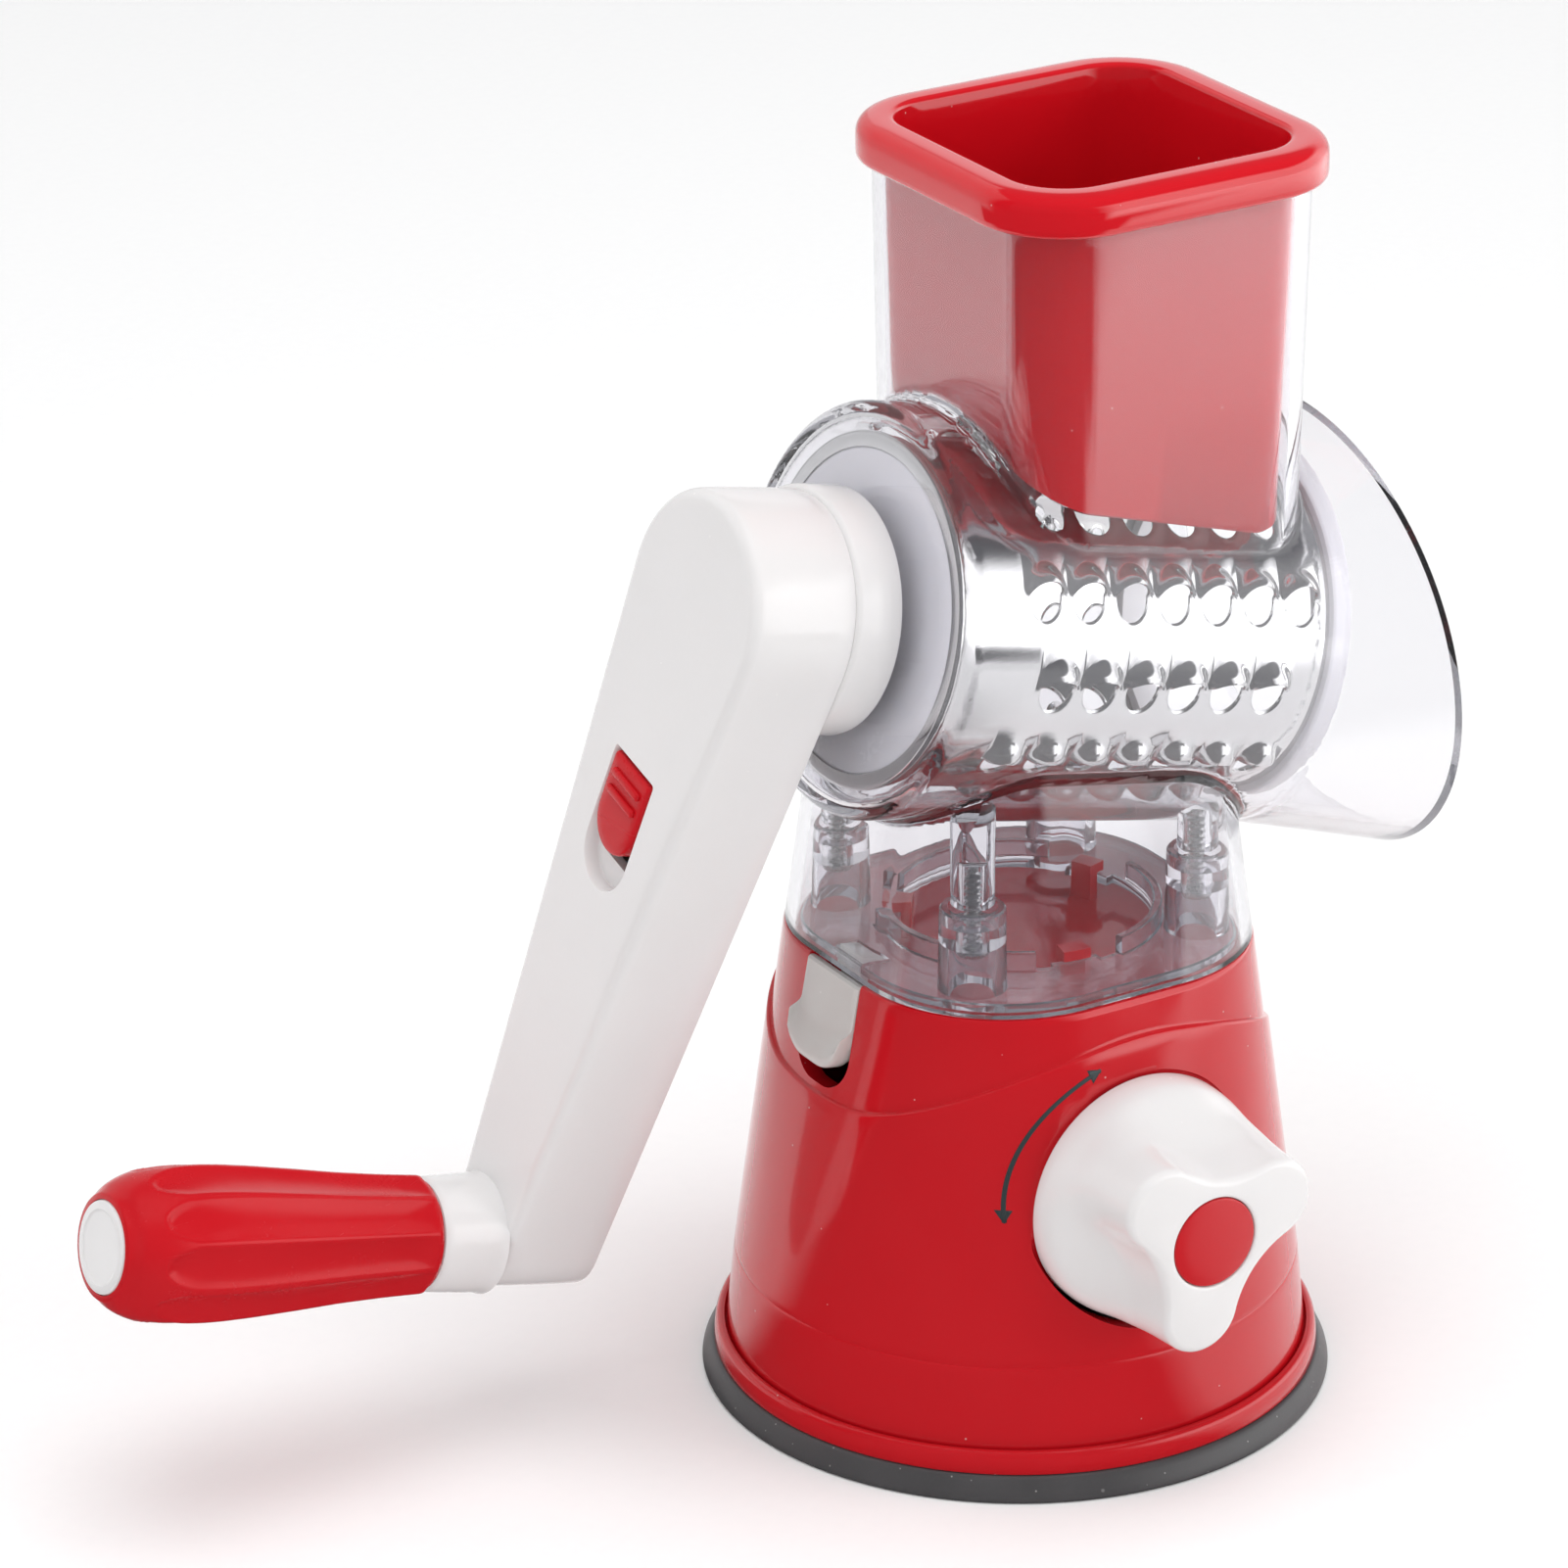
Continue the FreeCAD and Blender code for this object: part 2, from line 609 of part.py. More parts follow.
def make_pull_rod():
    """Rod with a mushroom foot in the cup and a slotted yoke round the cam pin."""
    lift = DIMENSIONS["cam_throw"] * math.sin(math.radians(DIMENSIONS["cam_start"]))
    middle = DIMENSIONS["knob_height"] - lift
    rod = turned("pull_rod_form", [
        (0, 3.2), (9.0, 3.2), (9.0, 5.2), (dim("spindle_radius"), 5.2), (dim("spindle_radius"), 44),
        (6.0, 47), (6.0, 50), (0, 50)])
    yoke = block("pull_rod_yoke", (-12, -2.6, 47), (4.5, 2.6, middle + 7.0))
    slot = block("pull_rod_slot", (-9.0, -4, middle - 2.8), (1.0, 4, middle + 2.8))
    return cut("pull_rod", fused("pull_rod_solid", [rod, yoke]), [slot])


# ---------------------------------------------------------------- latch
def make_latch():
    """Push-down tab: finger ledge outside, hook inside that stops the body turning."""
    side = new_body("latch_form")
    profile = new_sketch(side, "XZ_Plane", -dim("latch_width") * 0.5)
    draw_polygon(profile, [
        (-0.6, -0.4), (-0.6, -12.5), (-2.9, -16.2), (-3.1, -18.4), (-1.9, -19.6), (1.6, -19.6),
        (1.6, -11.5), (7.6, -11.5), (7.6, -8.5), (6.6, 3.0), (4.6, 4.2), (4.4, -8.4), (1.6, -8.4),
        (1.6, -0.4)])
    pad(side, profile, dim("latch_width"))
    side.Placement = LATCH
    trim = new_body("latch_trim")
    outline = new_sketch(trim, "YZ_Plane", -6)
    draw_rounded(outline, dim("latch_width") * 0.5, 14.8, 8.6, 0, -5.0)
    pad(trim, outline, 8.6)
    trim.Placement = LATCH
    hook = block("latch_hook_limit", (1.0, -4.5, -12), (9, 4.5, 6), LATCH)
    return common("latch", [side, fused("latch_limits", [trim, hook])])


def coil(name, radius, wire, pitch, length, place):
    """A compression spring about its own Z axis, its wire drawn with eight sides."""
    helix = Part.makeHelix(pitch, length, radius)
    corners = [Vector(radius + x, 0, z) for x, z in around(8, wire, 22.5)]
    section = Part.makePolygon(corners + corners[:1])
    thing = doc.addObject("Part::Feature", name)
    thing.Shape = Part.Wire(helix).makePipeShell([section], True, True)
    thing.Placement = place
    return thing


# ---------------------------------------------------------------- clear body
def tilted_turn(extra=0.0):
    return Rotation(Vector(0, 1, 0), 90 + TILT + extra)


def section(body, base, turn, radius):
    """A circle on a plane that is turned about Y and moved to a point of the XZ plane."""
    sketch = new_sketch(body, turn=turn)
    sketch.AttachmentOffset = Placement(base, turn)
    draw_circle(sketch, radius)
    return sketch


def add_tube(body, inset, bottom, top, cut_away=False):
    low = new_sketch(body, offset=bottom)
    draw_rounded(low, dim("tube_root_half") - inset, dim("tube_root_half") - inset,
                 dim("tube_corner") - inset, dim("tube_offset"))
    high = new_sketch(body, offset=top)
    draw_rounded(high, dim("tube_half") - inset, dim("tube_half") - inset,
                 dim("tube_corner") - inset, dim("tube_offset"))
    loft(body, [low, high], cut_away)


def add_housing(body, inset, front, back, cut_away=False):
    radius = dim("housing_radius") - inset
    sketch = section(body, DRUM.multVec(Vector(0, 0, front)), tilted_turn(), radius)
    maker = pocket if cut_away else pad
    maker(body, sketch, back - front, cut_away)


def add_hood(body, inset, overlap, cut_away=False):
    start = DIMENSIONS["housing_back"]
    near = section(body, DRUM.multVec(Vector(0, 0, start - 0.5)), tilted_turn(),
                   dim("housing_radius") - inset)
    lean = math.radians(DIMENSIONS["mouth_lean"])
    normal = Vector(math.cos(lean), 0, math.sin(lean))
    centre = Vector(DIMENSIONS["mouth_reach"], 0, DIMENSIONS["mouth_height"]) + normal * overlap
    far = section(body, centre, Rotation(Vector(0, 1, 0), 90 - DIMENSIONS["mouth_lean"]),
                  dim("mouth_radius") - inset)
    loft(body, [near, far], cut_away)


def make_clear_body():
    """Feed tube, drum housing, outlet hood and skirt: one clear moulding."""
    wall = dim("clear_wall")
    body = new_body("clear_body")
    low = new_sketch(body, offset=dim("rim_height") + 0.2)
    draw_rounded(low, dim("skirt_half"), dim("skirt_half"), dim("skirt_corner"))
    high = new_sketch(body, offset=dim("skirt_top"))
    draw_rounded(high, dim("skirt_top_half"), dim("skirt_top_half"), dim("skirt_top_corner"))
    loft(body, [low, high])
    low = new_sketch(body, offset=dim("rim_height"))
    draw_rounded(low, dim("skirt_half") - wall, dim("skirt_half") - wall, dim("skirt_corner") - wall)
    high = new_sketch(body, offset=dim("skirt_top") + 0.2)
    draw_rounded(high, dim("skirt_top_half") - wall, dim("skirt_top_half") - wall,
                 dim("skirt_top_corner") - wall)
    loft(body, [low, high], True)
    bosses = new_sketch(body, offset=dim("cup_top") + 0.4)
    for sx, sy in ((1, 1), (-1, 1), (-1, -1), (1, -1)):
        draw_circle(bosses, dim("boss_radius"), dim("post_x") * sx, dim("post_y") * sy)
    pad(body, bosses, 26)
    add_housing(body, Size(0), -DIMENSIONS["housing_front"], DIMENSIONS["housing_back"])
    add_hood(body, Size(0), 0.0)
    add_tube(body, Size(0), dim("tube_root"), dim("tube_top"))
    collar = section(body, DRUM.multVec(Vector(0, 0, -44.2)), tilted_turn(), dim("collar_radius"))
    pad(body, collar, 6.2)
    add_housing(body, wall, -DIMENSIONS["housing_front"] + 1.8, DIMENSIONS["housing_back"], True)
    add_hood(body, wall, 0.5, True)
    add_tube(body, wall, dim("tube_root") - 0.1, dim("tube_top") + 0.1, True)
    bore = section(body, DRUM.multVec(Vector(0, 0, -50)), tilted_turn(), dim("journal_radius") + dim("fit"))
    pocket(body, bore, 14, True)
    groove = new_sketch(body, turn=tilted_turn())
    groove.AttachmentOffset = Placement(DRUM.multVec(Vector(0, 0, -42.8)), tilted_turn())
    draw_circle(groove, dim("collar_radius") + 1)
    draw_circle(groove, 9.0)
    pocket(body, groove, 2.0, True)
    pilots = new_sketch(body, offset=dim("cup_top"))
    for sx, sy in ((1, 1), (-1, 1), (-1, -1), (1, -1)):
        draw_circle(pilots, 1.9, dim("post_x") * sx, dim("post_y") * sy)
    pocket(body, pilots, 10.5, True)
    return body


def make_body_plate():
    """Floor of the clear body: bayonet ring, four screw cups and the latch window."""
    bottom = dim("rim_height") + 0.15
    floor = bottom + dim("plate_thickness")
    half = dim("skirt_half") - dim("clear_wall") - 0.8
    inner = dim("ring_radius") - dim("ring_wall")
    form = prism("plate_form", lambda s: draw_rounded(s, half, half, dim("skirt_corner") - 3.2),
                 bottom, dim("plate_thickness"))
    ring = turned("plate_ring", [(inner - 3, bottom), (dim("ring_radius"), bottom),
                                 (dim("ring_radius"), dim("ring_top")), (inner - 3, dim("ring_top"))])
    cups = [turned("plate_cup_%d" % i, [
        (0, bottom), (dim("cup_radius") + 0.5, bottom), (dim("cup_radius"), dim("cup_top")),
        (4.9, dim("cup_top")), (4.9, 114.5), (0, 114.5)], Placement(Vector(x, y, 0), Rotation()))
            for i, (x, y) in enumerate(corners())]
    wells = [turned("plate_well_%d" % i, [(0, 96), (4.7, 96), (4.7, 110), (2.1, 110), (2.1, 120), (0, 120)],
                    Placement(Vector(x, y, 0), Rotation()))
             for i, (x, y) in enumerate(corners())]
    opening = turned("plate_opening_form", [(0, 95), (inner, 95), (inner, 110), (0, 110)])
    tabs, gaps = [], []
    for i, angle in enumerate(BAYONET_ANGLES):
        turn = Placement(Vector(), Rotation(Vector(0, 0, 1), angle))
        tabs.append(block("plate_tab_%d" % i, (dim("hook_radius") + 0.4, -5, 95), (inner + 1, 5, 110), turn))
        gaps.append(block("plate_gap_%d" % i, (20, -9.0, floor), (34, 9.0, 112), turn))
    opening = cut("plate_opening", opening, tabs)
    window = block("plate_window", (-38.9, -5.2, 95), (-33.5, 5.2, 104))
    solid = fused("plate_solid", [form, ring] + cups)
    return cut("body_plate", solid, [opening, window] + gaps + wells)


def corners():
    x, y = DIMENSIONS["post_x"], DIMENSIONS["post_y"]
    return ((x, y), (-x, y), (-x, -y), (x, -y))


def make_body_screws():
    screws = []
    for i, (x, y) in enumerate(corners()):
        head = cylinder("body_screw_head_%d" % i, 3.6, 2.2, (x, y, 107.7))
        shank = cylinder("body_screw_shank_%d" % i, 1.8, 17.5, (x, y, 109.5))
        slot = block("body_screw_slot_%d" % i, (x - 2.4, y - 0.4, 107.0), (x + 2.4, y + 0.4, 108.6))
        screws.append(cut("body_screw_%d" % i, fused("body_screw_form_%d" % i, [head, shank]), [slot]))
    return group("body_screws", screws)


# ---------------------------------------------------------------- pusher
def make_pusher():
    """Square cup with a rolled lip; its floor is arched over the drum."""
    top, wall = dim("tube_top") + 0.3, dim("pusher_wall")
    foot = 172.0
    body = new_body("pusher_form")
    low = new_sketch(body, offset=foot)
    draw_rounded(low, dim("pusher_foot_half"), dim("pusher_foot_half"), dim("pusher_corner"), dim("tube_offset"))
    high = new_sketch(body, offset=top)
    draw_rounded(high, dim("pusher_half"), dim("pusher_half"), dim("pusher_corner"), dim("tube_offset"))
    loft(body, [low, high])
    lip = new_sketch(body, offset=top)
    draw_rounded(lip, dim("lip_half"), dim("lip_half"), dim("lip_corner"), dim("tube_offset"))
    rolled = pad(body, lip, dim("lip_height"))
    doc.recompute()
    upper = top.value + DIMENSIONS["lip_height"]
    edges = ["Edge%d" % (i + 1) for i, e in enumerate(rolled.Shape.Edges) if e.BoundBox.ZMin > upper - 0.01]
    soft = body.newObject("PartDesign::Fillet", "pusher_lip_roll")
    soft.Base = (rolled, edges)
    soft.Radius = 3.2
    # the arch over the drum, and the same arch raised by the wall for the inside
    sag = -25.0
    arch = cylinder("pusher_arch", 63.0, 130, (-sag, 0, -60), frame=DRUM)
    inner_arch = cylinder("pusher_inner_arch", 63.0 + DIMENSIONS["pusher_wall"], 130, (-sag, 0, -60), frame=DRUM)
    inside = new_body("pusher_inside")
    low = new_sketch(inside, offset=foot - 1)
    draw_rounded(low, dim("pusher_foot_half") - wall, dim("pusher_foot_half") - wall,
                 dim("pusher_corner") - wall, dim("tube_offset"))
    high = new_sketch(inside, offset=top + dim("lip_height") + 0.5)
    draw_rounded(high, dim("pusher_half") - wall + 0.8, dim("pusher_half") - wall + 0.8,
                 dim("pusher_corner") + 0.6, dim("tube_offset"))
    loft(inside, [low, high])
    cavity = cut("pusher_cavity", inside, [inner_arch])
    return cut("pusher", body, [cavity, arch])


# ---------------------------------------------------------------- drum
SCOOP_ROWS = 12


def pyramid_stump(half, shoulder, crown, near, far, tip):
    """A five-sided arch that shrinks towards a tip on Y, standing inside the drum's sheet."""
    base = DIMENSIONS["drum_radius"] - 1.9
    arch = [(-half, 0), (-half, shoulder), (-half * 0.52, crown), (half * 0.52, crown), (half, shoulder), (half, 0)]
    rings = []
    for y in (near, far):
        share = (tip - y) / (tip - near)
        rings.append([Vector(base + up * share, y, across * share) for across, up in arch])
    outlines = rings + [[rings[0][i], rings[0][(i + 1) % 6], rings[1][(i + 1) % 6], rings[1][i]] for i in range(6)]
    stump = Part.Solid(Part.Shell([Part.Face(Part.makePolygon(o + o[:1])) for o in outlines]))
    if stump.Volume < 0:
        stump.reverse()
    return stump


def scoop_forms():
    """One scoop: the hood pressed out of the sheet, and all that is open under and before it."""
    radius, metal = DIMENSIONS["scoop_radius"], DIMENSIONS["drum_sheet"]
    tip = DIMENSIONS["scoop_length"] + 3.6
    hood = pyramid_stump(radius + metal, 2.2, DIMENSIONS["scoop_rise"] + 1.9, -0.2, tip - 3.4, tip)
    room = pyramid_stump(radius, 1.9, DIMENSIONS["scoop_rise"] + 1.3, -0.8, tip - 3.8, tip - 0.6)
    core = Part.makeCylinder(DIMENSIONS["drum_radius"] - 0.3, 30, Vector(0, 0, -15))
    punch = [(0.6, 0.96), (-1.6, 0.96), (-3.7, 0.62), (-4.5, 0), (-3.7, -0.62), (-1.6, -0.96), (0.6, -0.96)]
    corners = [Vector(DIMENSIONS["drum_radius"] - 5, y, radius * z) for y, z in punch]
    hole = Part.Face(Part.makePolygon(corners + corners[:1])).extrude(Vector(8, 0, 0))
    return hood.cut(room).cut(core), room.fuse(hole)


def make_drum_shell():
    """Sheet steel drum with rows of punched scoops and a lip rolled over the hub."""
    radius, metal, front = dim("drum_radius"), dim("drum_sheet"), -dim("drum_front")
    step = 360.0 / SCOOP_ROWS
    sector = new_body("drum_sector")
    sketch = new_sketch(sector, "XZ_Plane")
    draw_polygon(sketch, [
        (dim("disc_radius") + 0.1, front), (radius + 0.8, front), (radius + 0.8, front + 1.6),
        (radius, front + 2.2), (radius, dim("drum_back")), (radius - metal, dim("drum_back")),
        (radius - metal, front + metal), (dim("disc_radius") + 0.1, front + metal)])
    revolve(sector, sketch).Angle = step
    sector.Placement = Placement(Vector(), Rotation(Vector(0, 0, 1), -step / 2))
    doc.recompute()
    hood, opening = scoop_forms()
    patterns = []
    for count in (7, 6):
        spots = []
        for i in range(count):
            along = DIMENSIONS["scoop_centre"] + DIMENSIONS["scoop_pitch"] * (i - (count - 1) / 2)
            spots.append(Placement(Vector(0, 0, along), Rotation(Vector(1, 0, 0), 180)).toMatrix())
        sheet_metal = sector.Shape.cut(Part.Compound([opening.transformed(spot) for spot in spots]))
        hoods = Part.Compound([hood.transformed(spot) for spot in spots])
        patterns.append(sheet_metal.fuse(hoods).removeSplitter())
    rows = []
    for i in range(SCOOP_ROWS):
        row = doc.addObject("Part::Feature", "drum_row_%d" % i)
        row.Shape = patterns[i % 2]
        turn = Rotation(Vector(0, 0, 1), 90 - DIMENSIONS["scoop_row"] - step * i)
        row.Placement = DRUM.multiply(Placement(Vector(), turn))
        rows.append(row)
    return fused("drum_shell", rows)


def make_drum_hub():
    front = -dim("drum_front")
    plug = turned("drum_hub_form", [
        (8, front), (dim("disc_radius"), front), (dim("disc_radius"), front + 0.7),
        (dim("drum_radius") - 0.7, front + 0.7), (dim("drum_radius") - 0.7, -29.5),
        (dim("drum_radius") - 2.9, -29.5), (dim("drum_radius") - 2.9, front + 2.6), (11, front + 2.6),
        (10.6, -17.5), (0, -17.5), (0, -19.5), (8, -19.5)], DRUM)
    fill = cylinder("drum_hub_fill", 8.5, 19, (0, 0, -37.4), frame=DRUM)
    ribs = [block("drum_hub_rib_%d" % i, (10, -0.8, -36), (32.5, 0.8, -30.5),
                  DRUM.multiply(Placement(Vector(), Rotation(Vector(0, 0, 1), 60 * i)))) for i in range(6)]
    return cut("drum_hub", fused("drum_hub_solid", [plug, fill] + ribs), [hexagon("hub_socket", 6.0, -40, 20.5)])


def hexagon(name, apothem, start, length):
    tool = doc.addObject("Part::Prism", name)
    tool.Polygon = 6
    tool.Circumradius = apothem / math.cos(math.radians(30))
    tool.Height = length
    tool.Placement = DRUM.multiply(Placement(Vector(0, 0, start), Rotation()))
    return tool


def make_drum_ring():
    outer, back = dim("drum_radius") + 1.7, dim("drum_back")
    return turned("drum_ring", [
        (31.6, back - 2.6), (dim("drum_radius") - 0.7, back - 2.6), (dim("drum_radius") - 0.7, back + 0.1),
        (outer, back + 0.1), (outer, back + 3.6), (outer - 0.9, back + 4.5), (32.6, back + 4.5),
        (31.6, back + 3.6)], DRUM)


def make_drive_shaft():
    journal = turned("drive_journal", [
        (0, -73.0), (6.8, -73.0), (dim("journal_radius"), -72.3), (dim("journal_radius"), -38.6),
        (0, -38.6)], DRUM)
    return fused("drive_shaft", [journal, hexagon("drive_hex", 5.9, -39, 18.8)])


# ---------------------------------------------------------------- crank
def arm_prism(name, shrink, bottom, length):
    def outline(sketch):
        draw_taper(sketch, dim("crank_radius"), dim("arm_top_radius") - shrink,
                   dim("arm_end_radius") - shrink)
    return prism(name, outline, bottom, length, CRANK)


def slot_outline(sketch, grow, start, end):
    """Square at the hub end, round at the grip end: the button and its recess."""
    half = dim("slot_width") * 0.5 + grow
    start, end = as_size(start) - grow, as_size(end) + grow
    arc = Part.ArcOfCircle(Part.Circle(Vector((end - half).value, 0, 0), Vector(0, 0, 1), half.value),
                           -math.pi / 2, math.pi / 2)
    sketch.addGeometry(arc, False)
    low, high = (end - half).value, start.value
    top = [Vector(low, half.value, 0), Vector(high, half.value, 0), Vector(high, -half.value, 0),
           Vector(low, -half.value, 0)]
    for i in range(3):
        sketch.addGeometry(Part.LineSegment(top[i], top[i + 1]), False)
    sketch.addConstraint(Sketcher.Constraint("Tangent", 0, 2, 1, 1))
    sketch.addConstraint(Sketcher.Constraint("Coincident", 1, 2, 2, 1))
    sketch.addConstraint(Sketcher.Constraint("Coincident", 2, 2, 3, 1))
    sketch.addConstraint(Sketcher.Constraint("Tangent", 3, 2, 0, 1))
    rule = sketch.addConstraint(Sketcher.Constraint("Radius", 0, half.value))
    sketch.setExpression("Constraints[%d]" % rule, half.text)
    pin_point(sketch, 0, 3, end - half, 0)
    rule = sketch.addConstraint(Sketcher.Constraint("DistanceX", -1, 1, 1, 2, start.value))
    sketch.setExpression("Constraints[%d]" % rule, start.text)
    sketch.addConstraint(Sketcher.Constraint("Vertical", 2))


ARM_SCREWS = ((38.0, 13.6), (38.0, -13.6), (122.0, 0.0))


def make_crank_arm():
    face, back, wall = dim("arm_face"), dim("arm_back"), dim("arm_wall")
    outer = new_body("arm_outer")
    sketch = new_sketch(outer, offset=-face)
    draw_taper(sketch, dim("crank_radius"), dim("arm_top_radius"), dim("arm_end_radius"))
    block_pad = pad(outer, sketch, face - back)
    doc.recompute()
    rim = ["Edge%d" % (i + 1) for i, e in enumerate(block_pad.Shape.Edges)
           if e.BoundBox.ZMax < -face.value + 0.01]
    soft = outer.newObject("PartDesign::Fillet", "arm_soft_edges")
    soft.Base = (block_pad, rim)
    soft.Radius = 2.4
    outer.Placement = CRANK
    cavity = arm_prism("arm_cavity", wall, -face + wall, face - wall - 30)
    walls = cut("arm_walls", outer, [cavity])
    cup = dim("hub_cup_radius")
    hub = turned("arm_hub", [
        (0, -76), (10, -76), (10, -57.2), (dim("arm_top_radius") - 1.2, -57.2), (cup - 0.4, -55.4),
        (cup, -54.6), (cup, -dim("hub_cup_end")), (cup - 2.2, -dim("hub_cup_end")), (cup - 2.2, -55.0),
        (10, -55.0), (10, -45.2), (0, -45.2)], CRANK)
    pan = prism("arm_button_pan", lambda s: slot_outline(s, Size(1.6), dim("slot_start"), dim("slot_end")),
                -face + 1, 4.6, CRANK)
    socket = cylinder("arm_spindle_socket", 7.2, 16, (DIMENSIONS["crank_radius"], 0, -76), frame=CRANK)
    collar = turned("arm_collar", [
        (0, -dim("grip_inner") + 0.4), (11.0, -dim("grip_inner") + 0.4), (11.5, -dim("grip_inner") + 1.0),
        (12.1, -face - 0.8), (13.2, -face + 0.4), (0, -face + 0.4)], GRIP)
    pillars = [cylinder("arm_pillar_%d" % i, 3.4, 18.9, (x, y, -76), frame=CRANK)
               for i, (x, y) in enumerate(ARM_SCREWS)]
    webs = [block("arm_web_%d" % i, (70, side - 0.7, -76), (136, side + 0.7, -66), CRANK)
            for i, side in enumerate((-4.5, 4.5))]
    spring_stop = block("arm_spring_stop", (65.6, -5.2, -76), (67.4, 5.2, -65), CRANK)
    solid = fused("arm_solid", [walls, hub, pan, socket, collar, spring_stop] + pillars + webs)
    recess = prism("arm_button_recess",
                   lambda s: slot_outline(s, Size(0.25), dim("slot_start"), dim("slot_end")),
                   -face - 3, 6.0, CRANK)
    slide_window = block("arm_button_window", (39.5, -4.3, -77), (58.5, 4.3, -70), CRANK)
    bore = cylinder("arm_bore", dim("journal_radius") + 0.03, 30, (0, 0, -74), frame=CRANK)
    spindle_bore = cylinder("arm_spindle_bore", dim("spindle_radius") + 0.02, 40,
                            (DIMENSIONS["crank_radius"], 0, -95), frame=CRANK)
    bolt_window = block("arm_bolt_window", (10.9, -3.6, -60), (20.6, 3.6, -50), CRANK)
    pilots = [cylinder("arm_pilot_%d" % i, 1.25, 14, (x, y, -70), frame=CRANK)
              for i, (x, y) in enumerate(ARM_SCREWS)]
    return cut("crank_arm", solid, [recess, slide_window, bore, spindle_bore, bolt_window] + pilots)


def make_arm_cover():
    """Flat plate that closes the back of the arm, with recessed screw seats."""
    back, wall = dim("arm_back"), dim("arm_wall")
    plate = arm_prism("cover_plate", wall + 0.15, -back - 2.0, 2.0)
    away = cylinder("cover_hub_room", dim("hub_cup_radius") + 0.4, 10, (0, 0, -60), frame=CRANK)
    holes = [cylinder("cover_hole_%d" % i, 1.6, 10, (x, y, -60), frame=CRANK)
             for i, (x, y) in enumerate(ARM_SCREWS)]
    return cut("arm_cover", plate, [away] + holes)


def make_arm_screws():
    screws = []
    for i, (x, y) in enumerate(ARM_SCREWS):
        head = cylinder("arm_screw_head_%d" % i, 2.8, 1.6, (x, y, -54.95), frame=CRANK)
        shank = cylinder("arm_screw_shank_%d" % i, 1.2, 10, (x, y, -64.5), frame=CRANK)
        slot = block("arm_screw_slot_%d" % i, (x - 1.9, y - 0.3, -54.2), (x + 1.9, y + 0.3, -53.0), CRANK)
        screws.append(cut("arm_screw_%d" % i, fused("arm_screw_form_%d" % i, [head, shank]), [slot]))
    return group("arm_screws", screws)


def make_release_button():
    """Thumb slide in the arm, with two grip ridges and a neck down to the bolt."""
    face = dim("arm_face")
    start, end = dim("slot_start") + 0.3, dim("slot_start") + dim("button_length")
    plate = prism("button_plate", lambda s: slot_outline(s, Size(-0.1), start, end), -face - 0.5, 3.2, CRANK)
    ridges = [block("button_ridge_%d" % i, (x, -5.6, -79.4), (x + 1.6, 5.6, -78.2), CRANK)
              for i, x in enumerate((39.6, 44.6))]
    neck = block("button_neck", (40.2, -3.8, -76), (50.2, 3.8, -71.4), CRANK)
    return fused("release_button", [plate, neck] + ridges)


def make_release_bolt():
    """Slide behind the button; its foot hooks into the groove of the bearing collar."""
    slide = block("bolt_slide", (11.6, -3.2, -71.2), (52.0, 3.2, -69.2), CRANK)
    leg = block("bolt_leg", (11.6, -3.2, -71.2), (13.8, 3.2, -41.3), CRANK)
    foot = block("bolt_foot", (8, -3.2, -42.5), (13.8, 3.2, -41.3), CRANK)
    stop = block("bolt_spring_seat", (50.4, -3.2, -71.2), (52.0, 3.2, -65.5), CRANK)
    nose = cylinder("bolt_nose_room", 9.35, 40, (0, 0, -60), frame=CRANK)
    solid = fused("bolt_solid", [slide, leg, foot, stop])
    return cut("release_bolt", solid, [nose])


def make_grip():
    """Waisted handle with ten finger flutes that run out before the rounded end."""
    near, far = -dim("grip_inner"), -dim("grip_outer")
    radius, neck = dim("grip_radius"), dim("grip_neck")
    bore = dim("spindle_radius") + 0.08
    form = turned("grip_form", [
        (bore, near), (neck - 0.8, near), (neck, near - 0.8), (neck + 0.9, near - 12),
        (radius - 1.5, near - 30), (radius - 0.2, near - 46), (radius, near - 52), (radius - 0.3, near - 57),
        (radius - 1.3, near - 62), (radius - 2.7, near - 66.5), (radius - 4.2, near - 69.6),
        (radius - 5.6, far), (9.5, far), (9.5, far + 2.9), (6.3, far + 2.9), (6.3, far + 7.4),
        (bore, far + 7.4)], GRIP)
    flutes = []
    for i in range(10):
        turn = Placement(Vector(), Rotation(Vector(0, 0, 1), 36 * i))
        axis = Vector(3.7, 0, -50)
        start = Vector(DIMENSIONS["grip_neck"] + 7.0 - 1.0, 0, -90)
        place = Placement(start, Rotation(Vector(0, 0, 1), axis))
        flute = cylinder("grip_flute_%d" % i, 7.0, 74)
        flute.Placement = GRIP.multiply(turn).multiply(place)
        flutes.append(flute)
    return cut("grip", form, flutes)


def make_grip_cap():
    far = -dim("grip_outer")
    return turned("grip_cap", [
        (0, far - 0.6), (8.2, far - 0.6), (9.4, far + 0.1), (9.4, far + 2.7), (0, far + 2.7)], GRIP)


def make_grip_spindle():
    far = -dim("grip_outer")
    rod = turned("spindle_form", [
        (0, -61.5), (0, far + 7.7), (1.5, far + 7.7), (1.5, far + 7.6), (3.5, far + 7.6),
        (dim("spindle_radius"), far + 8.1), (dim("spindle_radius"), -61.5)], GRIP)
    pilot = cylinder("spindle_pilot", 1.55, 16, (0, 0, -DIMENSIONS["grip_outer"]), frame=GRIP)
    return cut("grip_spindle", rod, [pilot])


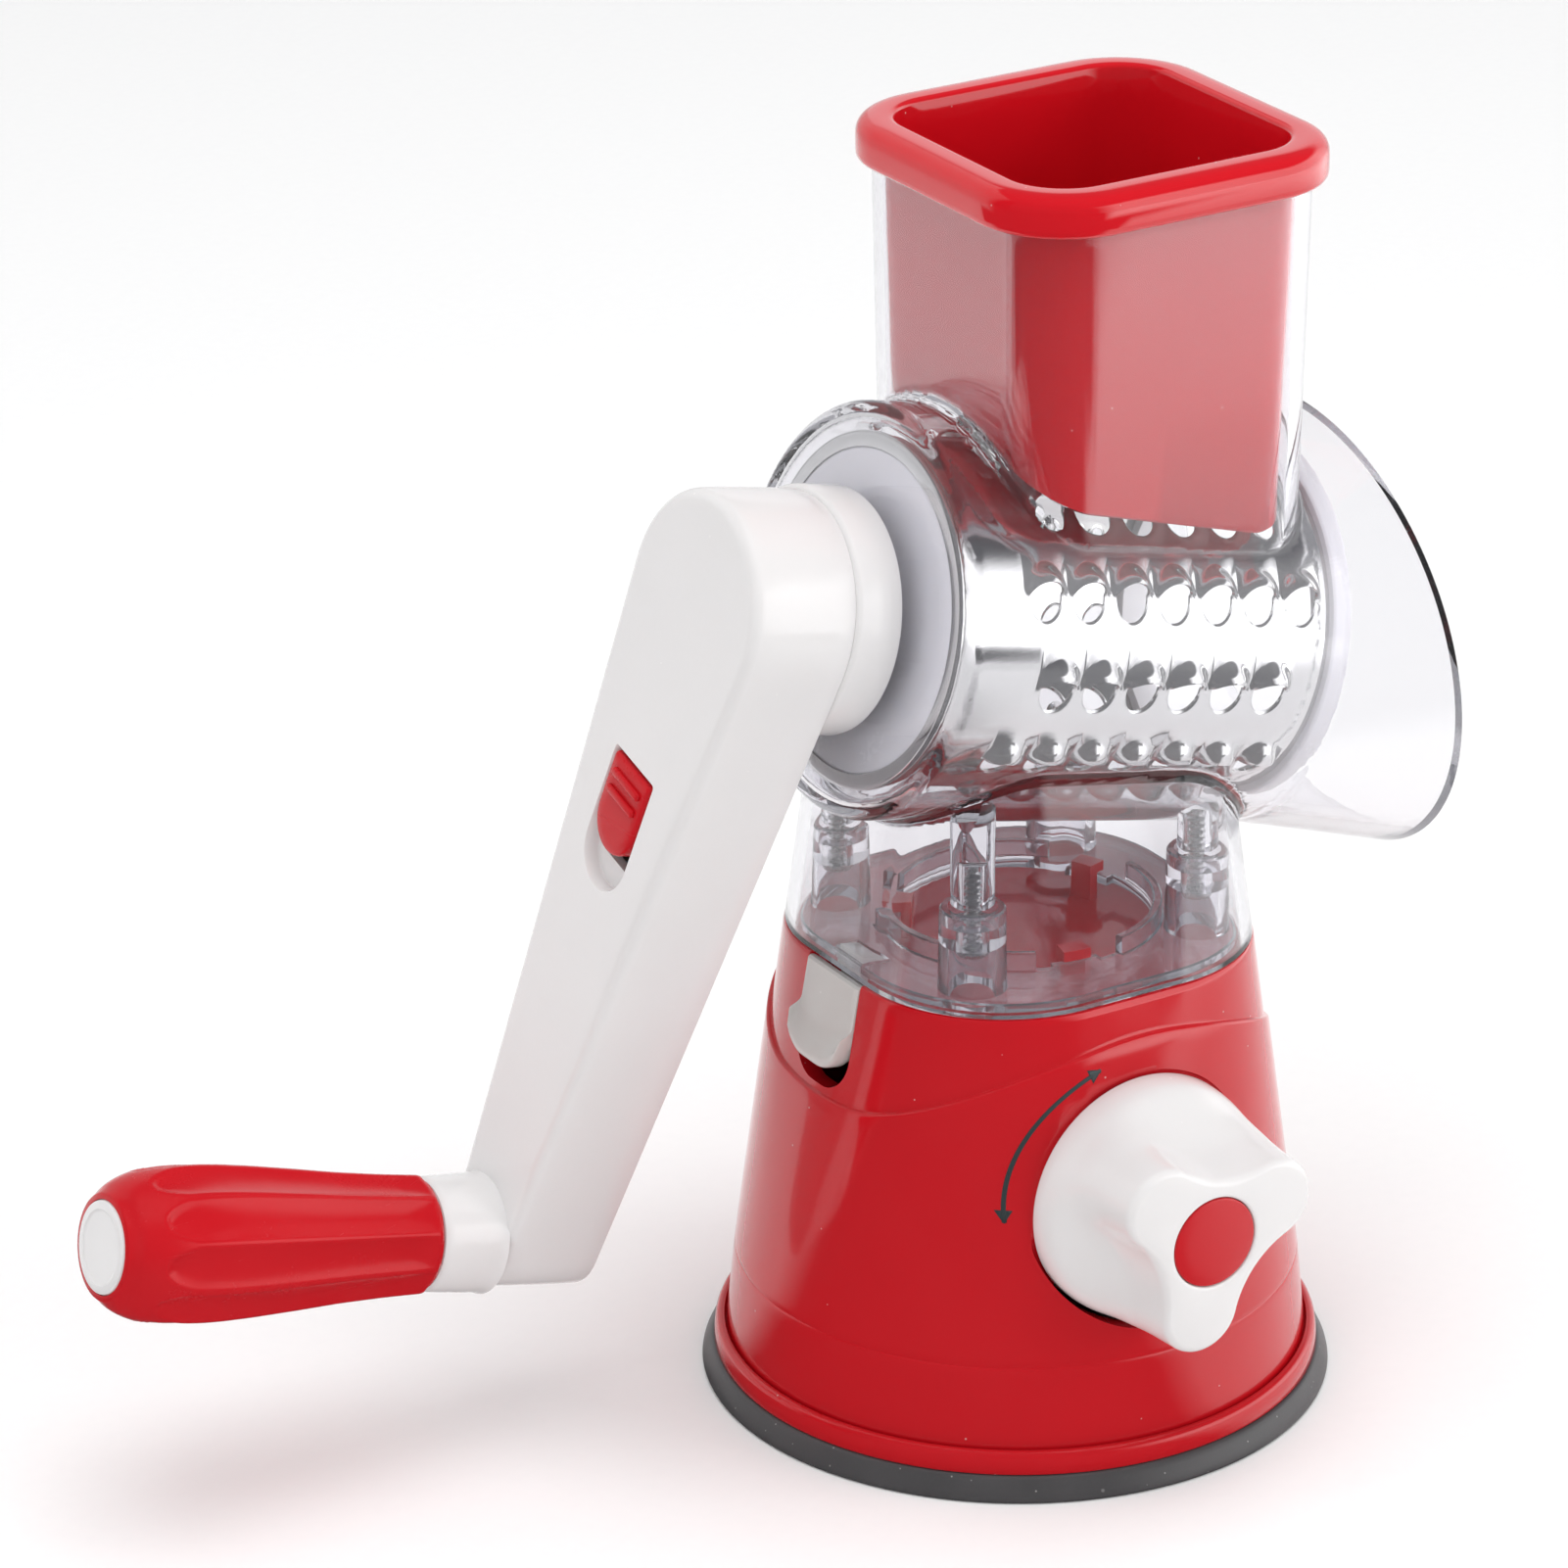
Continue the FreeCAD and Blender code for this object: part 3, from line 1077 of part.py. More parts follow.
def make_grip_screw():
    far = -dim("grip_outer")
    form = turned("grip_screw_form", [
        (0, far + 3.2), (3.4, far + 3.2), (4.2, far + 4.2), (4.2, far + 5.4), (5.9, far + 5.4),
        (5.9, far + 7.0), (1.5, far + 7.0), (1.5, far + 15.6), (0, far + 15.6)], GRIP)
    slots = [block("grip_screw_slot_%d" % i, (-2.4, -0.4, -DIMENSIONS["grip_outer"] + 3.0),
                   (2.4, 0.4, -DIMENSIONS["grip_outer"] + 4.4),
                   GRIP.multiply(Placement(Vector(), Rotation(Vector(0, 0, 1), 90 * i))))
             for i in range(2)]
    return cut("grip_screw", form, slots)


# ---------------------------------------------------------------- assemble the node list
makers = [
    make_suction_cup, make_cup_retainer, make_base_screws, make_base_shell, make_pull_rod,
    make_cam_shaft, make_knob, make_knob_screw, make_knob_cap, make_latch, make_body_plate,
    make_clear_body, make_body_screws, make_pusher, make_drum_shell, make_drum_hub, make_drum_ring,
    make_drive_shaft, make_crank_arm, make_arm_cover, make_arm_screws, make_release_button,
    make_release_bolt, make_grip, make_grip_cap, make_grip_spindle, make_grip_screw,
]
for maker in makers:
    keep(maker.__name__[len("make_"):], maker())
keep("latch_spring", coil("latch_spring", 2.1, 0.4, 1.9, 5.7, Placement(Vector(-41.1, 0, 79.65), Rotation())))
spring_turn = CRANK.multiply(Placement(Vector(52.5, 0, -67.6), Rotation(Vector(0, 1, 0), 90)))
keep("release_spring", coil("release_spring", 1.5, 0.35, 2.5, 12.5, spring_turn))
doc.recompute()

for thing in doc.Objects:
    state = set(thing.State) & {"Invalid", "Error"}
    if state:
        raise RuntimeError("%s is in state %s" % (thing.Name, sorted(state)))
for name, thing in NODES.items():
    shape = thing.Shape
    if shape.isNull() or not shape.isValid():
        raise RuntimeError("the shape of %s is not usable" % name)
    shape.exportStep("parts/%s.step" % name)
    print("%-16s solids %2d  volume %9.0f  faces %4d" % (name, len(shape.Solids), shape.Volume, len(shape.Faces)))
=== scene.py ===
"""Looks of a hand cranked rotary vegetable shredder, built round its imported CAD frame."""
import math

import bmesh
import bpy
from bpy.props import FloatProperty, FloatVectorProperty, IntProperty, PointerProperty
from mathutils import Matrix, Vector


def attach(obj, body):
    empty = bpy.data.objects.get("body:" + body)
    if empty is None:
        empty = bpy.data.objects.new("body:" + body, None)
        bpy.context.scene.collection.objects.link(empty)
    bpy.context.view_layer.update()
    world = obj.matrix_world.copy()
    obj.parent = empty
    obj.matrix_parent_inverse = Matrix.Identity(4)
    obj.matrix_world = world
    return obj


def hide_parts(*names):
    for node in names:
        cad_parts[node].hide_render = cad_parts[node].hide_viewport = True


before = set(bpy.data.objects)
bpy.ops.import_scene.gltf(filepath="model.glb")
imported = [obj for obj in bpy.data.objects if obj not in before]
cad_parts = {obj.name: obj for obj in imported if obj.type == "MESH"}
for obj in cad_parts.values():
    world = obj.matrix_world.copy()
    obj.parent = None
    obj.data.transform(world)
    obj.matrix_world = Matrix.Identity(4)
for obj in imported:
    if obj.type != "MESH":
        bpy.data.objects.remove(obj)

bl_info = {
    "name": "Rotary Shredder",
    "version": (1, 0, 0),
    "blender": (4, 5, 0),
    "location": "View3D > Sidebar > Shredder",
    "description": "Builds a clear and red table-top rotary shredder with its studio",
    "category": "Add Mesh",
}

# All pieces are modelled in millimetres in a frame of their own, then moved to the row frame.
MM = 0.001
TAU = 2 * math.pi
AXIS_HEIGHT, AXIS_TILT = 165.8, 13
TUBE_CENTRE = 15.7
ARM_LENGTH, ARM_LEAN, ARM_RADIUS, ARM_END_RADIUS = 148.0, 13, 23.5, 11.2
FOOT_LINE, FOOT_LINE_RADIUS = 26.8, 57.2
RIM_HEIGHT, RIM_HALF, RIM_CORNER = 98.5, 43.5, 33.0
SADDLE_CENTRE, SADDLE_RADIUS, SADDLE_PROUD = 16.3, 75.0, 0.9
KNOB_CENTRE, KNOB_BACK = (-2.0, 58.5), 47.6
HOUSING_RADIUS, HOUSING_FRONT, HOUSING_BACK = 41.2, -40.1, 52.0
HOOD_LEAN, HOOD_RADIUS, HOOD_MOUTH = 8, 50.5, (72.3, 0, 150.0)
BAYONET_ANGLES = (-97.0, 23.0, 143.0)
SCREW_CORNERS = ((26.5, 24.5), (-26.5, 24.5), (-26.5, -24.5), (26.5, -24.5))

# Frames that the pieces are modelled in: each turns or leans about its own Z.
WORLD = Matrix.Identity(4)
DRUM = Matrix.Translation((0, 0, AXIS_HEIGHT)) @ Matrix.Rotation(math.radians(90 + AXIS_TILT), 4, "Y")
CRANK = DRUM @ Matrix.Rotation(math.radians(ARM_LEAN), 4, "Z")
GRIP = CRANK @ Matrix.Translation((ARM_LENGTH, 0, 0))
KNOB = Matrix.Translation((KNOB_CENTRE[0], 0, KNOB_CENTRE[1])) @ Matrix.Rotation(math.radians(90), 4, "X")
LATCH = Matrix.Translation((-RIM_HALF, 0, RIM_HEIGHT)) @ Matrix.Rotation(math.radians(10.9), 4, "Y")


# ------------------------------------------------------------------ outlines
def square_radius(half, corner, angle):
    """Distance from the centre of a rounded square to its edge in one direction."""
    turn = abs((angle + math.pi / 4) % (math.pi / 2) - math.pi / 4)
    centre = half - corner
    if half * math.tan(turn) <= centre:
        return half / math.cos(turn)
    reach = centre * (math.cos(turn) + math.sin(turn))
    return reach + math.sqrt(reach ** 2 - 2 * centre ** 2 + corner ** 2)


def square_points(half, corner, height, across, side_steps, corner_steps):
    """Points round a rounded square, level and counter-clockwise; across shifts it along X."""
    straight = half - corner
    points = []
    for quarter in range(4):
        turn = Matrix.Rotation(quarter * math.pi / 2, 3, "Z")
        for i in range(side_steps):
            y = -straight + 2 * straight * i / side_steps
            points.append(turn @ Vector((half, y, 0)))
        for i in range(corner_steps):
            angle = math.pi / 2 * i / corner_steps
            points.append(turn @ Vector((straight + corner * math.cos(angle),
                                         straight + corner * math.sin(angle), 0)))
    return [p + Vector((across, 0, height)) for p in points]


def circle_ring(radius, height, steps, start=0.0):
    """Points round a level circle from a start angle."""
    return [Vector((radius * math.cos(start + TAU * i / steps),
                    radius * math.sin(start + TAU * i / steps), height)) for i in range(steps)]


def taper_ring(shrink, height, steps):
    """The outline of the crank arm: two arcs joined by their common tangents."""
    lean = math.acos((ARM_RADIUS - ARM_END_RADIUS) / ARM_LENGTH)
    big, small = ARM_RADIUS - shrink, ARM_END_RADIUS - shrink
    points = []
    arc = round(steps * 0.35)
    for i in range(arc + 1):
        angle = lean + (TAU - 2 * lean) * i / arc
        points.append(Vector((big * math.cos(angle), big * math.sin(angle), height)))
    side = round(steps * 0.2)
    end = Vector((ARM_LENGTH + small * math.cos(-lean), small * math.sin(-lean), height))
    for i in range(1, side):
        points.append(points[arc].lerp(end, i / side))
    tip = steps - arc - 2 * side + 1
    for i in range(tip + 1):
        angle = -lean + 2 * lean * i / tip
        points.append(Vector((ARM_LENGTH + small * math.cos(angle), small * math.sin(angle), height)))
    last = points[-1].copy()
    for i in range(1, side):
        points.append(last.lerp(points[0], i / side))
    return points


def fillet(centre_r, centre_z, radius, start, end, steps):
    """Points of a corner arc in a turned profile, angles in degrees."""
    angles = [math.radians(start + (end - start) * i / steps) for i in range(steps + 1)]
    return [(centre_r + radius * math.cos(a), centre_z + radius * math.sin(a)) for a in angles]


# ------------------------------------------------------------------ mesh helpers
def loft(bm, rings, cap_start=True, cap_end=True, closed=False):
    """Skins equal rings of points with quads; closed joins the last ring to the first."""
    rows = [[bm.verts.new(p) for p in ring] for ring in rings]
    count = len(rows[0])
    pairs = list(zip(rows, rows[1:]))
    if closed:
        pairs.append((rows[-1], rows[0]))
    for low, high in pairs:
        for i in range(count):
            j = (i + 1) % count
            bm.faces.new((low[i], low[j], high[j], high[i]))
    if cap_start and not closed:
        bm.faces.new(list(reversed(rows[0])))
    if cap_end and not closed:
        bm.faces.new(rows[-1])
    return rows


def spin(bm, profile, steps):
    """Turns a profile of (radius, height) points about Z with the spin operator."""
    verts = [bm.verts.new((r, 0, z)) for r, z in profile]
    edges = [bm.edges.new(pair) for pair in zip(verts, verts[1:] + verts[:1])]
    bmesh.ops.spin(bm, geom=verts + edges, cent=(0, 0, 0), axis=(0, 0, 1), angle=TAU,
                   steps=steps, use_merge=True)
    bmesh.ops.remove_doubles(bm, verts=bm.verts, dist=1e-4)


def box(bm, low, high, soften=0.0, segments=2):
    """A block between two corners with its edges bevelled."""
    made = bmesh.ops.create_cube(bm, size=1.0)["verts"]
    for vert in made:
        for axis in range(3):
            vert.co[axis] = low[axis] if vert.co[axis] < 0 else high[axis]
    if soften:
        edges = list({edge for vert in made for edge in vert.link_edges})
        bmesh.ops.bevel(bm, geom=edges, offset=soften, offset_type="OFFSET", segments=segments,
                        profile=0.5, affect="EDGES", material=-1, clamp_overlap=True)


def pour(piece, bm):
    """Adds one bmesh to another and frees it."""
    mesh = bpy.data.meshes.new("part")
    piece.to_mesh(mesh)
    piece.free()
    bm.from_mesh(mesh)
    bpy.data.meshes.remove(mesh)


def arc_block(bm, profile, start, end, soften=0.0):
    """Sweeps an outline of (radius, height) points round Z from one angle to another."""
    piece, steps = bmesh.new(), 10
    rings = []
    for i in range(steps + 1):
        turn = Matrix.Rotation(math.radians(start + (end - start) * i / steps), 3, "Z")
        rings.append([turn @ Vector((r, 0, z)) for r, z in profile])
    loft(piece, rings)
    if soften:
        crisp = [e for e in piece.edges if e.calc_face_angle(0) > 0.6]
        bmesh.ops.bevel(piece, geom=crisp, offset=soften, offset_type="OFFSET", segments=2,
                        profile=0.5, affect="EDGES", material=-1, clamp_overlap=True)
    bmesh.ops.recalc_face_normals(piece, faces=piece.faces)
    pour(piece, bm)


def to_mesh(bm, name, place=WORLD):
    """Closes the bmesh, moves it to the row frame in metres and links the object, smooth shaded."""
    bmesh.ops.recalc_face_normals(bm, faces=bm.faces)
    bmesh.ops.transform(bm, matrix=Matrix.Scale(MM, 4) @ place, verts=bm.verts)
    mesh = bpy.data.meshes.new(name)
    bm.to_mesh(mesh)
    bm.free()
    for polygon in mesh.polygons:
        polygon.use_smooth = True
    thing = bpy.data.objects.new(name, mesh)
    bpy.context.scene.collection.objects.link(thing)
    return thing


def sharpen(thing, degrees=35.0):
    """Marks the edges that are to stay crisp under smooth shading."""
    bm = bmesh.new()
    bm.from_mesh(thing.data)
    limit = math.radians(degrees)
    for edge in bm.edges:
        if len(edge.link_faces) == 2:
            edge.smooth = edge.calc_face_angle(0) < limit
    bm.to_mesh(thing.data)
    bm.free()


def bake(thing):
    """Turns the object's modifiers into its mesh."""
    graph = bpy.context.evaluated_depsgraph_get()
    graph.update()
    mesh = bpy.data.meshes.new_from_object(thing.evaluated_get(graph))
    thing.modifiers.clear()
    old = thing.data
    thing.data = mesh
    mesh.name = thing.name
    bpy.data.meshes.remove(old)


def combine(thing, others, operation="UNION", solver="MANIFOLD"):
    """Joins or cuts with other objects, which are used up."""
    for other in others:
        change = thing.modifiers.new("combine", "BOOLEAN")
        change.operation = operation
        change.solver = solver
        change.object = other
    before = len(thing.data.polygons)
    bake(thing)
    if len(thing.data.polygons) < 4:
        raise RuntimeError("%s was lost in a boolean (it had %d faces)" % (thing.name, before))
    for other in others:
        bpy.data.objects.remove(other)
    return thing


def place_piece(thing, body, nodes, material):
    """Gives a finished piece its body and material, and hides what it stands for."""
    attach(thing, body)
    if nodes:
        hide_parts(*nodes)
    thing.data.materials.clear()
    thing.data.materials.append(material)
    for polygon in thing.data.polygons:
        polygon.material_index = 0
    return thing


def turned(name, profile, place, steps):
    """An object turned from a profile in the frame it lies in."""
    bm = bmesh.new()
    spin(bm, profile, steps)
    return to_mesh(bm, name, place)


def turned_piece(name, profile, place, steps):
    """A turned object with its crisp edges marked."""
    thing = turned(name, profile, place, steps)
    sharpen(thing)
    return thing


# ------------------------------------------------------------------ shader groups
def new_group(name, inputs, outputs):
    """A shader node group with its sockets, made once and shared by the materials."""
    group = bpy.data.node_groups.new(name, "ShaderNodeTree")
    for label, kind, value in inputs:
        socket = group.interface.new_socket(label, in_out="INPUT", socket_type=kind)
        if value is not None:
            socket.default_value = value
    for label, kind in outputs:
        group.interface.new_socket(label, in_out="OUTPUT", socket_type=kind)
    return group


def add_node(tree, kind, inputs=None, **settings):
    """A new node whose inputs are given as values or as the sockets that feed them."""
    node = tree.nodes.new(kind)
    for key, value in settings.items():
        setattr(node, key, value)
    for key, value in (inputs or {}).items():
        if isinstance(value, bpy.types.NodeSocket):
            tree.links.new(value, node.inputs[key])
        else:
            node.inputs[key].default_value = value
    return node


def maths(tree, operation, first, second):
    """The result of a Math node."""
    return add_node(tree, "ShaderNodeMath", {0: first, 1: second}, operation=operation).outputs[0]


def spread(tree, value, low, high, to_low=0.0, to_high=1.0):
    """A value spread from one range to another."""
    node = add_node(tree, "ShaderNodeMapRange", {0: value, 1: low, 2: high, 3: to_low, 4: to_high})
    return node.outputs[0]


def moulded_group():
    """Faint flow and orange peel of injection moulding: a roughness change and a normal."""
    group = new_group("Moulded Surface",
                      [("Scale", "NodeSocketFloat", 60.0), ("Depth", "NodeSocketFloat", 0.02)],
                      [("Variation", "NodeSocketFloat"), ("Normal", "NodeSocketVector")])
    source = add_node(group, "NodeGroupInput")
    target = add_node(group, "NodeGroupOutput")
    place = add_node(group, "ShaderNodeTexCoord").outputs["Object"]
    broad = add_node(group, "ShaderNodeTexNoise", {"Vector": place, "Scale": source.outputs["Scale"],
                                                   "Detail": 2.0, "Roughness": 0.4}).outputs["Fac"]
    fine_scale = maths(group, "MULTIPLY", source.outputs["Scale"], 22.0)
    fine = add_node(group, "ShaderNodeTexNoise", {"Vector": place, "Scale": fine_scale,
                                                  "Detail": 3.0}).outputs["Fac"]
    both = maths(group, "ADD", maths(group, "MULTIPLY", broad, 0.75),
                 maths(group, "MULTIPLY", fine, 0.25))
    bump = add_node(group, "ShaderNodeBump", {"Strength": source.outputs["Depth"], "Distance": 0.0006,
                                              "Height": both})
    group.links.new(both, target.inputs["Variation"])
    group.links.new(bump.outputs["Normal"], target.inputs["Normal"])
    return group


def dust_group():
    """Sparse light specks and lint, spread at random."""
    group = new_group("Dust Specks",
                      [("Amount", "NodeSocketFloat", 0.1), ("Scale", "NodeSocketFloat", 900.0)],
                      [("Mask", "NodeSocketFloat")])
    source = add_node(group, "NodeGroupInput")
    target = add_node(group, "NodeGroupOutput")
    place = add_node(group, "ShaderNodeTexCoord").outputs["Object"]
    cells = add_node(group, "ShaderNodeTexVoronoi", {"Vector": place, "Scale": source.outputs["Scale"]})
    speck = spread(group, cells.outputs["Distance"], 0.16, 0.08)
    chosen = add_node(group, "ShaderNodeSeparateColor", {0: cells.outputs["Color"]}).outputs[0]
    rare = maths(group, "LESS_THAN", chosen, source.outputs["Amount"])
    group.links.new(maths(group, "MULTIPLY", speck, rare), target.inputs["Mask"])
    return group


def scratch_group():
    """Hair-fine wiping marks: a mask and a normal."""
    group = new_group("Wiping Marks",
                      [("Scale", "NodeSocketFloat", 30.0), ("Depth", "NodeSocketFloat", 0.05)],
                      [("Mask", "NodeSocketFloat"), ("Normal", "NodeSocketVector")])
    source = add_node(group, "NodeGroupInput")
    target = add_node(group, "NodeGroupOutput")
    place = add_node(group, "ShaderNodeTexCoord").outputs["Object"]
    marks = None
    for turn, squeeze in ((0.35, 26.0), (-0.6, 31.0)):
        mapped = add_node(group, "ShaderNodeMapping", {
            "Vector": place, "Rotation": (turn, turn * 0.7, turn), "Scale": (1.0, 1.0, squeeze)}).outputs[0]
        lines = add_node(group, "ShaderNodeTexNoise", {
            "Vector": mapped, "Scale": source.outputs["Scale"], "Detail": 5.0, "Roughness": 0.7})
        lines = spread(group, lines.outputs["Fac"], 0.62, 0.72)
        marks = lines if marks is None else maths(group, "MAXIMUM", marks, lines)
    bump = add_node(group, "ShaderNodeBump", {"Strength": source.outputs["Depth"], "Distance": 0.0002,
                                              "Height": marks})
    group.links.new(marks, target.inputs["Mask"])
    group.links.new(bump.outputs["Normal"], target.inputs["Normal"])
    return group


def edge_group():
    """How much a point lies on a rounded edge, for paler edges."""
    group = new_group("Soft Edges", [("Radius", "NodeSocketFloat", 0.0008)], [("Mask", "NodeSocketFloat")])
    source = add_node(group, "NodeGroupInput")
    target = add_node(group, "NodeGroupOutput")
    rounded = add_node(group, "ShaderNodeBevel", {"Radius": source.outputs["Radius"]}, samples=4)
    flat = add_node(group, "ShaderNodeNewGeometry").outputs["Normal"]
    level = add_node(group, "ShaderNodeVectorMath", {0: rounded.outputs[0], 1: flat},
                     operation="DOT_PRODUCT")
    group.links.new(spread(group, level.outputs["Value"], 0.999, 0.93), target.inputs["Mask"])
    return group


GROUP_MAKERS = {"moulded": moulded_group, "dust": dust_group, "scratches": scratch_group,
                "edges": edge_group}
GROUPS = {}


def shared(tree, label, **inputs):
    """One of the shared groups as a node, built when it is first wanted."""
    if label not in GROUPS:
        GROUPS[label] = GROUP_MAKERS[label]()
    node = add_node(tree, "ShaderNodeGroup", node_tree=GROUPS[label])
    for key, value in inputs.items():
        node.inputs[key.title()].default_value = value
    return node


# ------------------------------------------------------------------ materials
def blank_material(name):
    """A new material with its node tree and its Principled BSDF."""
    material = bpy.data.materials.new(name)
    material.use_nodes = True
    return material, material.node_tree, material.node_tree.nodes["Principled BSDF"]


def mix_colour(tree, mask, first, second):
    """The first colour where the mask is nought, the second where it is one."""
    node = add_node(tree, "ShaderNodeMix", data_type="RGBA")
    for index, value in ((0, mask), (6, first), (7, second)):
        if isinstance(value, bpy.types.NodeSocket):
            tree.links.new(value, node.inputs[index])
        else:
            node.inputs[index].default_value = value
    return node.outputs[2]


def plastic(name, colour, roughness, coat, depth, dust=0.012, subsurface=0.0, edge=1.12, gloss=0.5):
    """Glossy injection-moulded plastic with faint flow, wiping marks and a few specks."""
    material, tree, shader = blank_material(name)
    surface = shared(tree, "moulded", scale=45.0, depth=depth)
    marks = shared(tree, "scratches", scale=24.0, depth=0.04)
    specks = shared(tree, "dust", amount=dust, scale=620.0)
    edges = shared(tree, "edges", radius=0.0007)
    base = (*colour, 1.0)
    pale = (*[min(1.0, c * edge + 0.004) for c in colour], 1.0)
    deep = (*[c * 0.94 for c in colour], 1.0)
    tint = mix_colour(tree, surface.outputs["Variation"], deep, base)
    # Rounded edges are made paler.
    tint = mix_colour(tree, maths(tree, "MULTIPLY", edges.outputs["Mask"], 0.5), tint, pale)
    tint = mix_colour(tree, maths(tree, "MULTIPLY", specks.outputs["Mask"], 0.45), tint,
                      (0.75, 0.74, 0.72, 1))
    tree.links.new(tint, shader.inputs["Base Color"])
    rough = spread(tree, surface.outputs["Variation"], 0.3, 0.7, roughness * 0.85, roughness * 1.15)
    rough = maths(tree, "ADD", rough, maths(tree, "MULTIPLY", marks.outputs["Mask"], 0.05))
    rough = maths(tree, "ADD", rough, maths(tree, "MULTIPLY", specks.outputs["Mask"], 0.3))
    tree.links.new(rough, shader.inputs["Roughness"])
    tree.links.new(surface.outputs["Normal"], shader.inputs["Normal"])
    shader.inputs["IOR"].default_value = 1.5
    shader.inputs["Specular IOR Level"].default_value = gloss
    shader.inputs["Coat Weight"].default_value = coat
    shader.inputs["Coat Roughness"].default_value = 0.04
    if subsurface:
        shader.inputs["Subsurface Weight"].default_value = subsurface
        shader.inputs["Subsurface Radius"].default_value = (0.004, 0.0035, 0.003)
        shader.inputs["Subsurface Scale"].default_value = 1.0
    return material


def clear_plastic(name, tint, haze):
    """Water-clear moulding with a faint cool cast, flow in the surface and fine wiping marks."""
    material, tree, shader = blank_material(name)
    surface = shared(tree, "moulded", scale=26.0, depth=0.003)
    marks = shared(tree, "scratches", scale=16.0, depth=0.03)
    specks = shared(tree, "dust", amount=0.006, scale=480.0)
    shader.inputs["Base Color"].default_value = (*tint, 1.0)
    shader.inputs["Metallic"].default_value = 0.0
    shader.inputs["Transmission Weight"].default_value = 1.0 - haze
    shader.inputs["IOR"].default_value = 1.49
    rough = spread(tree, surface.outputs["Variation"], 0.3, 0.7, 0.006, 0.02)
    rough = maths(tree, "ADD", rough, maths(tree, "MULTIPLY", marks.outputs["Mask"], 0.02))
    rough = maths(tree, "ADD", rough, maths(tree, "MULTIPLY", specks.outputs["Mask"], 0.25))
    tree.links.new(rough, shader.inputs["Roughness"])
    tree.links.new(surface.outputs["Normal"], shader.inputs["Normal"])
    # Lamp light passes the clear walls through a tinted film. Rays that have bounced more than twice inside
    # pass straight through a grey film instead: a painted grey tone at the clear edges, in place of their
    # inner reflections.
    path = add_node(tree, "ShaderNodeLightPath").outputs
    trapped = maths(tree, "GREATER_THAN", path["Glossy Depth"], 2.5)
    lamps = maths(tree, "MAXIMUM", path["Is Shadow Ray"], trapped)
    film = add_node(tree, "ShaderNodeBsdfTransparent", {"Color": mix_colour(
        tree, path["Is Shadow Ray"], (0.72, 0.72, 0.74, 1.0), (*tint, 1.0))})
    through = add_node(tree, "ShaderNodeMixShader", {0: lamps, 1: shader.outputs[0], 2: film.outputs[0]})
    tree.links.new(through.outputs[0], tree.nodes["Material Output"].inputs["Surface"])
    return material


def metal(name, colour, roughness, brushed, scale, stretch=(1.0, 1.0, 30.0)):
    """Sheet or turned metal with drawn lines, a little uneven polish and fine scratches."""
    material, tree, shader = blank_material(name)
    place = add_node(tree, "ShaderNodeTexCoord").outputs["Object"]
    mapped = add_node(tree, "ShaderNodeMapping", {"Vector": place, "Scale": stretch}).outputs[0]
    lines = add_node(tree, "ShaderNodeTexNoise", {"Vector": mapped, "Scale": scale, "Detail": 6.0,
                                                  "Roughness": 0.65}).outputs["Fac"]
    cloud = add_node(tree, "ShaderNodeTexNoise", {"Vector": place, "Scale": 35.0,
                                                  "Detail": 3.0}).outputs["Fac"]
    marks = shared(tree, "scratches", scale=40.0, depth=0.05)
    edges = shared(tree, "edges", radius=0.0003)
    tint = mix_colour(tree, cloud, (*[c * 0.9 for c in colour], 1), (*colour, 1))
    # Rounded edges are made paler, towards light grey.
    tint = mix_colour(tree, maths(tree, "MULTIPLY", edges.outputs["Mask"], 0.5), tint, (0.9, 0.9, 0.9, 1))
    tree.links.new(tint, shader.inputs["Base Color"])
    rough = spread(tree, lines, 0.3, 0.7, roughness * 0.7, roughness * 1.3)
    rough = maths(tree, "ADD", rough, maths(tree, "MULTIPLY", marks.outputs["Mask"], 0.08))
    tree.links.new(rough, shader.inputs["Roughness"])
    bump = add_node(tree, "ShaderNodeBump", {"Strength": brushed, "Distance": 0.0001, "Height": lines})
    tree.links.new(bump.outputs["Normal"], shader.inputs["Normal"])
    shader.inputs["Metallic"].default_value = 1.0
    return material


def rubber(name):
    """Black rubber with a satin skin, mould haze and plenty of light specks."""
    material, tree, shader = blank_material(name)
    surface = shared(tree, "moulded", scale=70.0, depth=0.15)
    specks = shared(tree, "dust", amount=0.10, scale=700.0)
    lint = shared(tree, "dust", amount=0.05, scale=260.0)
    dirt = maths(tree, "MAXIMUM", specks.outputs["Mask"],
                 maths(tree, "MULTIPLY", lint.outputs["Mask"], 0.7))
    tint = mix_colour(tree, surface.outputs["Variation"], (0.045, 0.044, 0.046, 1),
                      (0.085, 0.082, 0.085, 1))
    tint = mix_colour(tree, maths(tree, "MULTIPLY", dirt, 0.55), tint, (0.55, 0.54, 0.53, 1))
    tree.links.new(tint, shader.inputs["Base Color"])
    rough = spread(tree, surface.outputs["Variation"], 0.3, 0.7, 0.30, 0.48)
    rough = maths(tree, "ADD", rough, maths(tree, "MULTIPLY", dirt, 0.3))
    tree.links.new(rough, shader.inputs["Roughness"])
    tree.links.new(surface.outputs["Normal"], shader.inputs["Normal"])
    return material


MATERIALS = {}


def material(label):
    """A finished material, made when it is first wanted."""
    if label not in MATERIALS:
        MATERIALS[label] = MATERIAL_MAKERS[label](bpy.context.scene.shredder)
    return MATERIALS[label]


